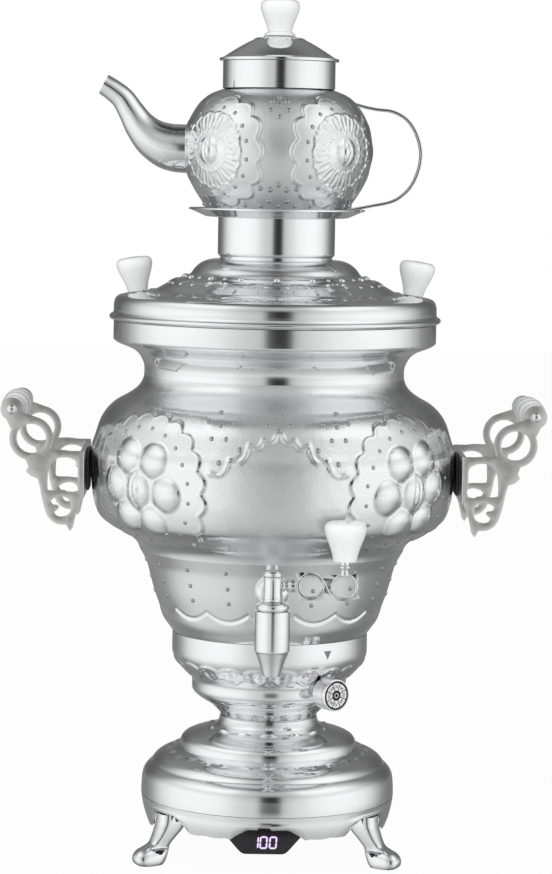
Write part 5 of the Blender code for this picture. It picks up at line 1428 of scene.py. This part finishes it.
shaft_line = [(0, 0.0003), (0.0026, 0.0003), (0.0026, 0.0067), (0.0038, 0.0068), (0.0041, 0.0073),
              (0.0038, 0.0080), (0.0028, 0.0083), (0.0028, 0.0087), (0.0043, 0.0093), (0.0044, 0.0100),
              (0.0040, 0.0110), (0.0044, 0.0120), (0.0044, 0.0148), (0.0038, 0.0152), (0, 0.0152)]
turned("tap_shaft_fine", shaft_line, 48, "polished_steel", "tap_handle", ["tap_shaft"], shaft_place, 0.0004)

# %% Plates with rounded edges
def flat_plate(name, outline, holes, thickness, bevel):
    """Return a mesh of a plate in the XZ plane, centred on Y, with eased edges."""
    bm = bmesh.new()
    for loop in [outline, *holes]:
        verts = [bm.verts.new((across, -thickness / 2, up)) for across, up in loop]
        for index in range(len(verts)):
            bm.edges.new((verts[index - 1], verts[index]))
    bmesh.ops.triangle_fill(bm, use_beauty=True, edges=bm.edges)
    grown = bmesh.ops.extrude_face_region(bm, geom=bm.faces[:])
    top = [item for item in grown["geom"] if isinstance(item, bmesh.types.BMVert)]
    bmesh.ops.translate(bm, vec=(0, thickness, 0), verts=top)
    bmesh.ops.recalc_face_normals(bm, faces=bm.faces)
    rims = [edge for edge in bm.edges if len(edge.link_faces) == 2 and edge.calc_face_angle(0) > 1.2
            and abs(edge.verts[0].co.y - edge.verts[1].co.y) < weld]
    bmesh.ops.bevel(bm, geom=rims, offset=bevel, segments=2, profile=0.6, affect="EDGES", clamp_overlap=True)
    mesh = bpy.data.meshes.new(name)
    bm.to_mesh(mesh)
    bm.free()
    return mesh


def merged(name, meshes, finish, body, nodes=(), sharp=sharp_angle):
    bm = bmesh.new()
    for mesh in meshes:
        bm.from_mesh(mesh)
    whole = bpy.data.meshes.new(name)
    bm.to_mesh(whole)
    bm.free()
    for mesh in meshes:
        bpy.data.meshes.remove(mesh)
    return dress_piece(name, whole, finish, body, nodes, sharp)


def bead(path, radius, closed=False):
    """Return a round bead along a path in the XZ plane; a closed path gives a ring."""
    path = np.array(path, float)
    if closed:
        ways = np.roll(path, -1, axis=0) - np.roll(path, 1, axis=0)
    else:
        ways = np.gradient(path, axis=0)
    back = Vector((0, 1, 0))
    rings = []
    for centre, way in zip(path, ways):
        out = back.cross(Vector(way).normalized())
        rings.append([Vector(centre) + back * side + out * lift for side, lift in circle(radius, 6)])
    return skin_mesh("bead", rings, closed)


# %% Lever
lever_first = (0.0152 + gap + 0.0097, 0.0)
lever_second = (lever_first[0] + 0.0228, 0.0)
lever_radii = (0.0095, 0.0092)
lever_thickness = 0.003


def thorn(centre, radius, angle, length, spread=22):
    """Return the points of a thorn that stands on a ring."""
    tip = math.radians(angle)
    reach = radius + length
    left, right = math.radians(angle - spread), math.radians(angle + spread)
    rows = [(radius, left), (radius + length * 0.35, left + 0.12), (reach, tip + 0.15),
            (radius + length * 0.25, right - 0.1), (radius, right)]
    return [(centre[0] + r * math.cos(a), centre[1] + r * math.sin(a)) for r, a in rows]


def build_lever():
    first, second = lever_first, lever_second
    near, far = lever_radii
    outline = arc(first, near, 165, 212, 4) + thorn(first, near, 235, 0.0040)
    outline += arc(first, near, 260, 290, 3) + thorn(first, near, 312, 0.0034)
    outline += arc(second, far, 222, 292, 6) + thorn(second, far, 316, 0.0036)
    outline += arc(second, far, 342, 378, 4) + thorn(second, far, 42, 0.0036)
    outline += arc(second, far, 68, 118, 5) + thorn(second, far, 134, 0.0038, 12)
    outline += arc(first, near, 38, 112, 7) + thorn(first, near, 132, 0.0042)
    holes = [whole_ring(first, 0.0070), whole_ring(second, 0.0074)]
    pieces = [flat_plate("lever", outline, holes, lever_thickness, 0.0004)]
    leaf = [(first[0] + 0.0006, 0.0093), (first[0] + 0.0060, 0.0074), (first[0] + 0.0095, 0.0028),
            (first[0] + 0.0125, -0.0035), (first[0] + 0.0168, -0.0078), (first[0] + 0.0226, -0.0092),
            (first[0] + 0.0278, -0.0074)]
    for face in (-1, 1):
        y = face * lever_thickness / 2
        for centre, radius in ((first, 0.0090), (first, 0.0076), (second, 0.0087), (second, 0.0078)):
            ring = [(x, y, z) for x, z in whole_ring(centre, radius)]
            pieces.append(bead(ring, 0.00042, True))
        path = curve_through([(x, y, z) for x, z in leaf], 6)
        pieces.append(bead(path, 0.00055))
    stem = [(0, 0.0078), (0.0034, 0.0078), (0.0030, 0.0090), (0.0026, 0.0105), (0.0030, 0.0120),
            (0.0040, 0.0128), (0.0040, 0.0138), (0.0030, 0.0146), (0.0030, 0.0171), (0, 0.0171)]
    pieces.append(spun_mesh("stem", stem, 40, 0.0004))
    pieces[-1].transform(Matrix.Translation((second[0], 0, 0)))
    for mesh in pieces:
        mesh.transform(Matrix.Translation((0, tap_y, shaft_z)))
    merged("tap_lever_fine", pieces, "polished_steel", "tap_handle", ["tap_lever"])


build_lever()

# %% [markdown]
# ## Carrying handles
#
# Each handle is a cast bracket with two pierced cheeks, a ribbed white grip between them and a
# through bolt with domed nuts. The cheeks are flat plates with eased edges, in pearl-grey satin.

# %% Cheek outline
cheek_size = 0.050
cheek_thickness = 0.0032
bracket_span = 0.094
grip_x, grip_z = 0.0491, 0.0452
grip_radius, grip_end_radius = 0.0102, 0.0074
handle_z = 0.276


def scaled(shares, size):
    return [(across * size, up * size) for across, up in shares]


def cheek_loops():
    ring = (cheek_size * 0.712, cheek_size * 0.50)
    ring_radius = 0.0152
    foot = [(0.745, 0.100), (0.775, 0.060), (0.772, 0.030), (0.715, -0.020), (0.615, -0.062),
            (0.588, -0.160), (0.560, -0.306), (0.535, -0.410), (0.505, -0.510), (0.470, -0.590),
            (0.415, -0.652), (0.350, -0.688), (0.285, -0.700), (0.215, -0.700), (0.190, -0.745),
            (0.160, -0.790), (0.118, -0.735), (0.100, -0.640), (0.070, -0.520), (0.026, -0.410),
            (0, -0.334)]
    outline = [(0, cheek_size * 0.332), (cheek_size * 0.16, cheek_size * 0.330),
               (cheek_size * 0.29, cheek_size * 0.345)]
    outline += arc(ring, ring_radius, 212, 104, 14)
    outline += arc((grip_x, grip_z), 0.0080, 196, -62, 18)
    outline += arc(ring, ring_radius, 24, -76, 14)
    outline += scaled(foot, cheek_size)
    window = [(0.300, 0.240), (0.375, 0.205), (0.435, 0.135), (0.470, 0.050), (0.480, -0.060),
              (0.480, -0.190), (0.455, -0.225), (0.300, -0.228), (0.060, -0.228), (0.060, 0.000),
              (0.060, 0.140), (0.105, 0.205), (0.190, 0.240)]
    kidney = [(0.430, -0.385), (0.405, -0.345), (0.350, -0.318), (0.265, -0.305), (0.190, -0.335),
              (0.155, -0.400), (0.150, -0.490), (0.185, -0.560), (0.250, -0.590), (0.325, -0.590),
              (0.368, -0.560), (0.374, -0.520), (0.340, -0.495), (0.318, -0.462), (0.345, -0.430),
              (0.395, -0.425)]
    holes = [soft_loop(scaled(loop, cheek_size), 3) for loop in (window, kidney)]
    return outline, [whole_ring(ring, 0.0103), *holes]


def mirrored(loop, side):
    return [(side * across, up) for across, up in loop]


def build_handle(name, side, grip_body):
    gasket_low, gasket_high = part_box("handle_gasket_" + name)
    outer = max(abs(gasket_low.x), abs(gasket_high.x))
    edge = outer + gap + 0.0015
    half_y = bracket_span / 2
    outline, holes = cheek_loops()
    pieces = []
    for depth in (-half_y, half_y):
        cheek = flat_plate("cheek", mirrored(outline, side), [mirrored(hole, side) for hole in holes],
                           cheek_thickness, 0.0007)
        cheek.transform(Matrix.Translation((side * edge, depth, handle_z)))
        pieces.append(cheek)
    slab = [(-half_y, -0.0166), (half_y, -0.0166), (half_y, 0.0166), (-half_y, 0.0166)]
    back = flat_plate("back", slab, [], 0.003, 0.0006)
    back.transform(Matrix.Translation((side * edge, 0, handle_z)) @ Matrix.Rotation(quarter, 4, "Z"))
    pieces.append(back)
    for mesh in pieces:
        mesh.transform(axis)
    merged(name + "_bracket", pieces, "satin_silver", "samovar", ["handle_bracket_" + name],
           math.radians(35))
    build_gasket(name)
    build_grip(name, side * (edge + grip_x), grip_body)
    build_nut(name, side)


def build_gasket(name):
    low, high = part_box("handle_gasket_" + name)
    half_y, half_z = (high.y - low.y) / 2, (high.z - low.z) / 2
    loop = rounded_strip(half_y, half_z, 0.004, 6)
    mesh = flat_plate("gasket", loop, [], abs(high.x - low.x), 0.0004)
    middle = (low + high) / 2
    mesh.transform(Matrix.Translation(middle) @ Matrix.Rotation(quarter, 4, "Z"))
    dress_piece(name + "_gasket", mesh, "grey_rubber", "samovar", ["handle_gasket_" + name])


def build_grip(name, x, grip_body):
    half = (bracket_span - cheek_thickness) / 2 - gap
    place = Matrix.Translation((x, axis_y, handle_z + grip_z)) @ Matrix.Rotation(quarter, 4, "X")
    line = []
    for step in range(81):
        along = 2 * step / 80 - 1
        bulge = grip_end_radius + (grip_radius - grip_end_radius) * (1 - along ** 2)
        groove = 0.0013 * (0.5 + 0.5 * math.cos(math.tau * 5 * step / 80)) ** 2.2
        line.append((bulge - groove, along * half))
    line += [(0.0024, half), (0.0024, -half)]
    turned(name + "_grip", line, 64, "white_plastic", grip_body, ["handle_grip_" + name], place, 0.0008)
    head = (bracket_span + cheek_thickness) / 2 + gap
    nut = [(0.0037, 0), (0.0037, 0.0012), (0.0035, 0.0022), (0.0029, 0.0032), (0.0018, 0.0040), (0, 0.0042)]
    bolt = [(radius, -head - rise) for radius, rise in nut[::-1]] + [(0.0021, -head), (0.0021, head)]
    bolt += [(radius, head + rise) for radius, rise in nut]
    turned(name + "_bolt", bolt, 40, "polished_steel", "samovar", ["handle_bolt_" + name], place, 0.0005)


def build_nut(name, side):
    low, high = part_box("handle_screw_" + name)
    tip = max(abs(low.x), abs(high.x))
    place = Matrix.Translation((0, axis_y, (low.z + high.z) / 2)) @ Matrix.Rotation(side * quarter, 4, "Y")
    tail = min(abs(low.x), abs(high.x))
    nut = [(0, tail), (0.0019, tail), (0.0019, tip - 0.0053), (0.0031, tip - 0.0053),
           (0.0031, tip - 0.0032), (0.0028, tip - 0.0016), (0.0018, tip - 0.0004), (0, tip)]
    turned(name + "_nut", nut, 40, "polished_steel", "samovar", ["handle_screw_" + name], place, 0.0004)


build_handle("left", -1, "grip_left")
build_handle("right", 1, "grip_right")

# %% [markdown]
# ## Thermostat
#
# A chromed knob stands on the cup, with a white dial sunk in its end. The dial's ring, spokes and
# numbers are printed, so they stand less than a tenth of a millimetre above the face.

# %% Knob and dial
thermostat_place = (axis @ Matrix.Rotation(math.radians(36), 4, "Z")
                    @ Matrix.Translation((0, -cup_band_radius, 0.1257)) @ Matrix.Rotation(quarter, 4, "X"))
knob_end = 0.0239
dial_z = knob_end - 0.0001
ink_thickness = 0.00008
grooves = []
for step in range(7):
    z = 0.0115 + step * 0.0014
    grooves += [(0.0112, z), (0.01095, z + 0.0005), (0.0112, z + 0.0010)]
dial_knob = [(0.0031, 0.0027), (0.0042, 0.0027), (0.0062, 0.0040), (0.0098, 0.0092), (0.0109, 0.0104)]
dial_knob += grooves
dial_knob += [(0.0112, knob_end - 0.0008), (0.0110, knob_end - 0.0001), (0.0108, knob_end),
              (0.0105, knob_end), (0.0105, knob_end - 0.0010), (0, knob_end - 0.0010), (0, 0.0147),
              (0.0031, 0.0147)]
turned("dial_knob", dial_knob, 80, "polished_steel", "thermostat_control", ["thermostat_knob"],
       thermostat_place, 0.0004)
dial_disc = [(0, knob_end - 0.0007), (0.0104, knob_end - 0.0007), (0.0104, knob_end - 0.0002),
             (0.0102, dial_z), (0, dial_z)]
turned("dial_face", dial_disc, 80, "dial_white", "thermostat_control", ["thermostat_dial"],
       thermostat_place, 0.0005)


def ink_ring(inner, outer, z):
    top = z + ink_thickness
    return spun_mesh("ink", [(inner, z), (outer, z), (outer, top), (inner, top)], 72, 0.004)


def bar_mesh(corners, low, high):
    """Return a thin prism over a flat outline of (x, y) corners."""
    return skin_mesh("bar", [[(x, y, z) for x, y in corners] for z in (low, high)])


def number_mesh(text, size, place):
    curve = bpy.data.curves.new("number", "FONT")
    curve.body = text
    curve.size = size
    curve.align_x = "CENTER"
    curve.align_y = "CENTER"
    curve.extrude = 0.00004
    curve.resolution_u = 3
    item = bpy.data.objects.new("number", curve)
    bpy.context.scene.collection.objects.link(item)
    graph = bpy.context.evaluated_depsgraph_get()
    mesh = bpy.data.meshes.new_from_object(item.evaluated_get(graph))
    bpy.data.objects.remove(item)
    mesh.transform(place)
    return mesh


def build_dial_marks():
    z = dial_z
    marks = [ink_ring(0.0088, 0.0102, z), ink_ring(0.0, 0.0036, z)]
    spoke_shape = ((0.0035, -0.0003), (0.0089, -0.0003), (0.0089, 0.0003), (0.0035, 0.0003))
    for spoke in range(8):
        angle = math.tau * (spoke + 0.5) / 8
        c, s = math.cos(angle), math.sin(angle)
        corners = [(r * c - w * s, r * s + w * c) for r, w in spoke_shape]
        marks.append(bar_mesh(corners, z, z + ink_thickness))
        place = Matrix.Rotation(-math.tau * spoke / 8, 4, "Z") @ Matrix.Translation((0, 0.0062, z + 0.00005))
        marks.append(number_mesh(str(30 + 10 * spoke), 0.0030, place))
    for mesh in marks:
        mesh.transform(thermostat_place)
    merged("dial_marks", marks, "dial_ink", "thermostat_control", ())
    dot = ink_ring(0.0013, 0.0018, z + ink_thickness)
    dot.transform(thermostat_place)
    dress_piece("dial_centre", dot, "dial_white", "thermostat_control", ())


build_dial_marks()
pointer_z = 0.1528
pointer_place = (axis @ Matrix.Rotation(math.radians(35), 4, "Z")
                 @ Matrix.Translation((0, -cup_high.x, pointer_z)) @ Matrix.Rotation(quarter, 4, "X"))
pointer = bar_mesh([(-0.0031, 0.0031), (0, -0.0032), (0.0031, 0.0031)], -0.0003, 0.0001)
pointer.transform(pointer_place)
dress_piece("dial_pointer", pointer, "etched_grey", "samovar", ())

# %% [markdown]
# ## Display
#
# A dark glossy panel hangs under the skirt and shows the water's temperature in lit digits. Its
# lower corners are rounded. The digits are bars of light: a pale core over a wider violet glow.

# %% Display panel and digits
panel_low, panel_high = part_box("display_panel")
panel_middle = (panel_low + panel_high) / 2
panel_half = (panel_high.x - panel_low.x) / 2
panel_height = panel_high.z - panel_low.z
panel_shares = [(-1, 1), (-1, 0.84), (-0.90, 0.66), (-0.74, 0.39), (-0.66, 0.255), (-0.60, 0.155),
                (-0.545, 0.075), (-0.50, 0.028), (-0.43, 0.0), (0.43, 0.0), (0.50, 0.028), (0.545, 0.075),
                (0.60, 0.155), (0.66, 0.255), (0.74, 0.39), (0.90, 0.66), (1, 0.84), (1, 1)]
panel_loop = [(across * panel_half, (up - 0.5) * panel_height) for across, up in panel_shares]
panel_mesh = flat_plate("panel", panel_loop, [], panel_high.y - panel_low.y, 0.0006)
panel_mesh.transform(Matrix.Translation(panel_middle))
dress_piece("display_glass", panel_mesh, "black_plastic", "samovar", ["display_panel"],
            math.radians(30))

segment_places = {"a": (0, 1, 0), "b": (1, 0.5, 1), "c": (1, -0.5, 1), "d": (0, -1, 0), "e": (-1, -0.5, 1),
                  "f": (-1, 0.5, 1)}
digit_segments = {"1": "bc", "0": "abcdef"}
digit_half = (0.0022, 0.0039)
digit_pitch = 0.0066
digit_z = 0.0243


def segment(middle, upright, length, width):
    x, y = middle
    tip = length / 2
    half = width / 2
    shape = [(-tip, 0), (-tip + half, half), (tip - half, half), (tip, 0), (tip - half, -half),
             (-tip + half, -half)]
    return [(x - b, y + a) if upright else (x + a, y + b) for a, b in shape]


def build_digits(name, finish, width, low, high):
    bars = []
    for index, digit in enumerate("100"):
        offset = (index - 1) * digit_pitch + (0.0006 if digit == "1" else 0)
        for key in digit_segments[digit]:
            across, up, upright = segment_places[key]
            middle = (offset + across * digit_half[0], up * digit_half[1])
            length = (digit_half[1] if upright else 2 * digit_half[0]) * 0.94
            bars.append(bar_mesh(segment(middle, upright, length + width * 0.2, width), low, high))
    lean = Matrix.Identity(4)
    lean[0][1] = 0.06
    place = (Matrix.Translation((panel_middle.x, panel_low.y, digit_z))
             @ Matrix.Rotation(quarter, 4, "X") @ lean)
    for mesh in bars:
        mesh.transform(place)
    merged(name, bars, finish, "samovar", ())


def lit_material(name, colour, strength):
    material = worn_material(name, (0.02, 0.01, 0.03), 0, (0.3, 0.4), (60, 900), 0.02)
    tree = material.node_tree
    shader = tree.nodes["Principled BSDF"]
    shader.inputs["Emission Color"].default_value = (*colour, 1)
    shader.inputs["Emission Strength"].default_value = strength
    return material


finishes["lit_core"] = lit_material("lit_core", (0.93, 0.86, 1.0), 1.0)
finishes["lit_glow"] = lit_material("lit_glow", (0.36, 0.10, 0.62), 0.55)
build_digits("digit_glow", "lit_glow", 0.0020, 0.00001, 0.00006)
build_digits("digit_light", "lit_core", 0.0010, 0.00006, 0.00012)
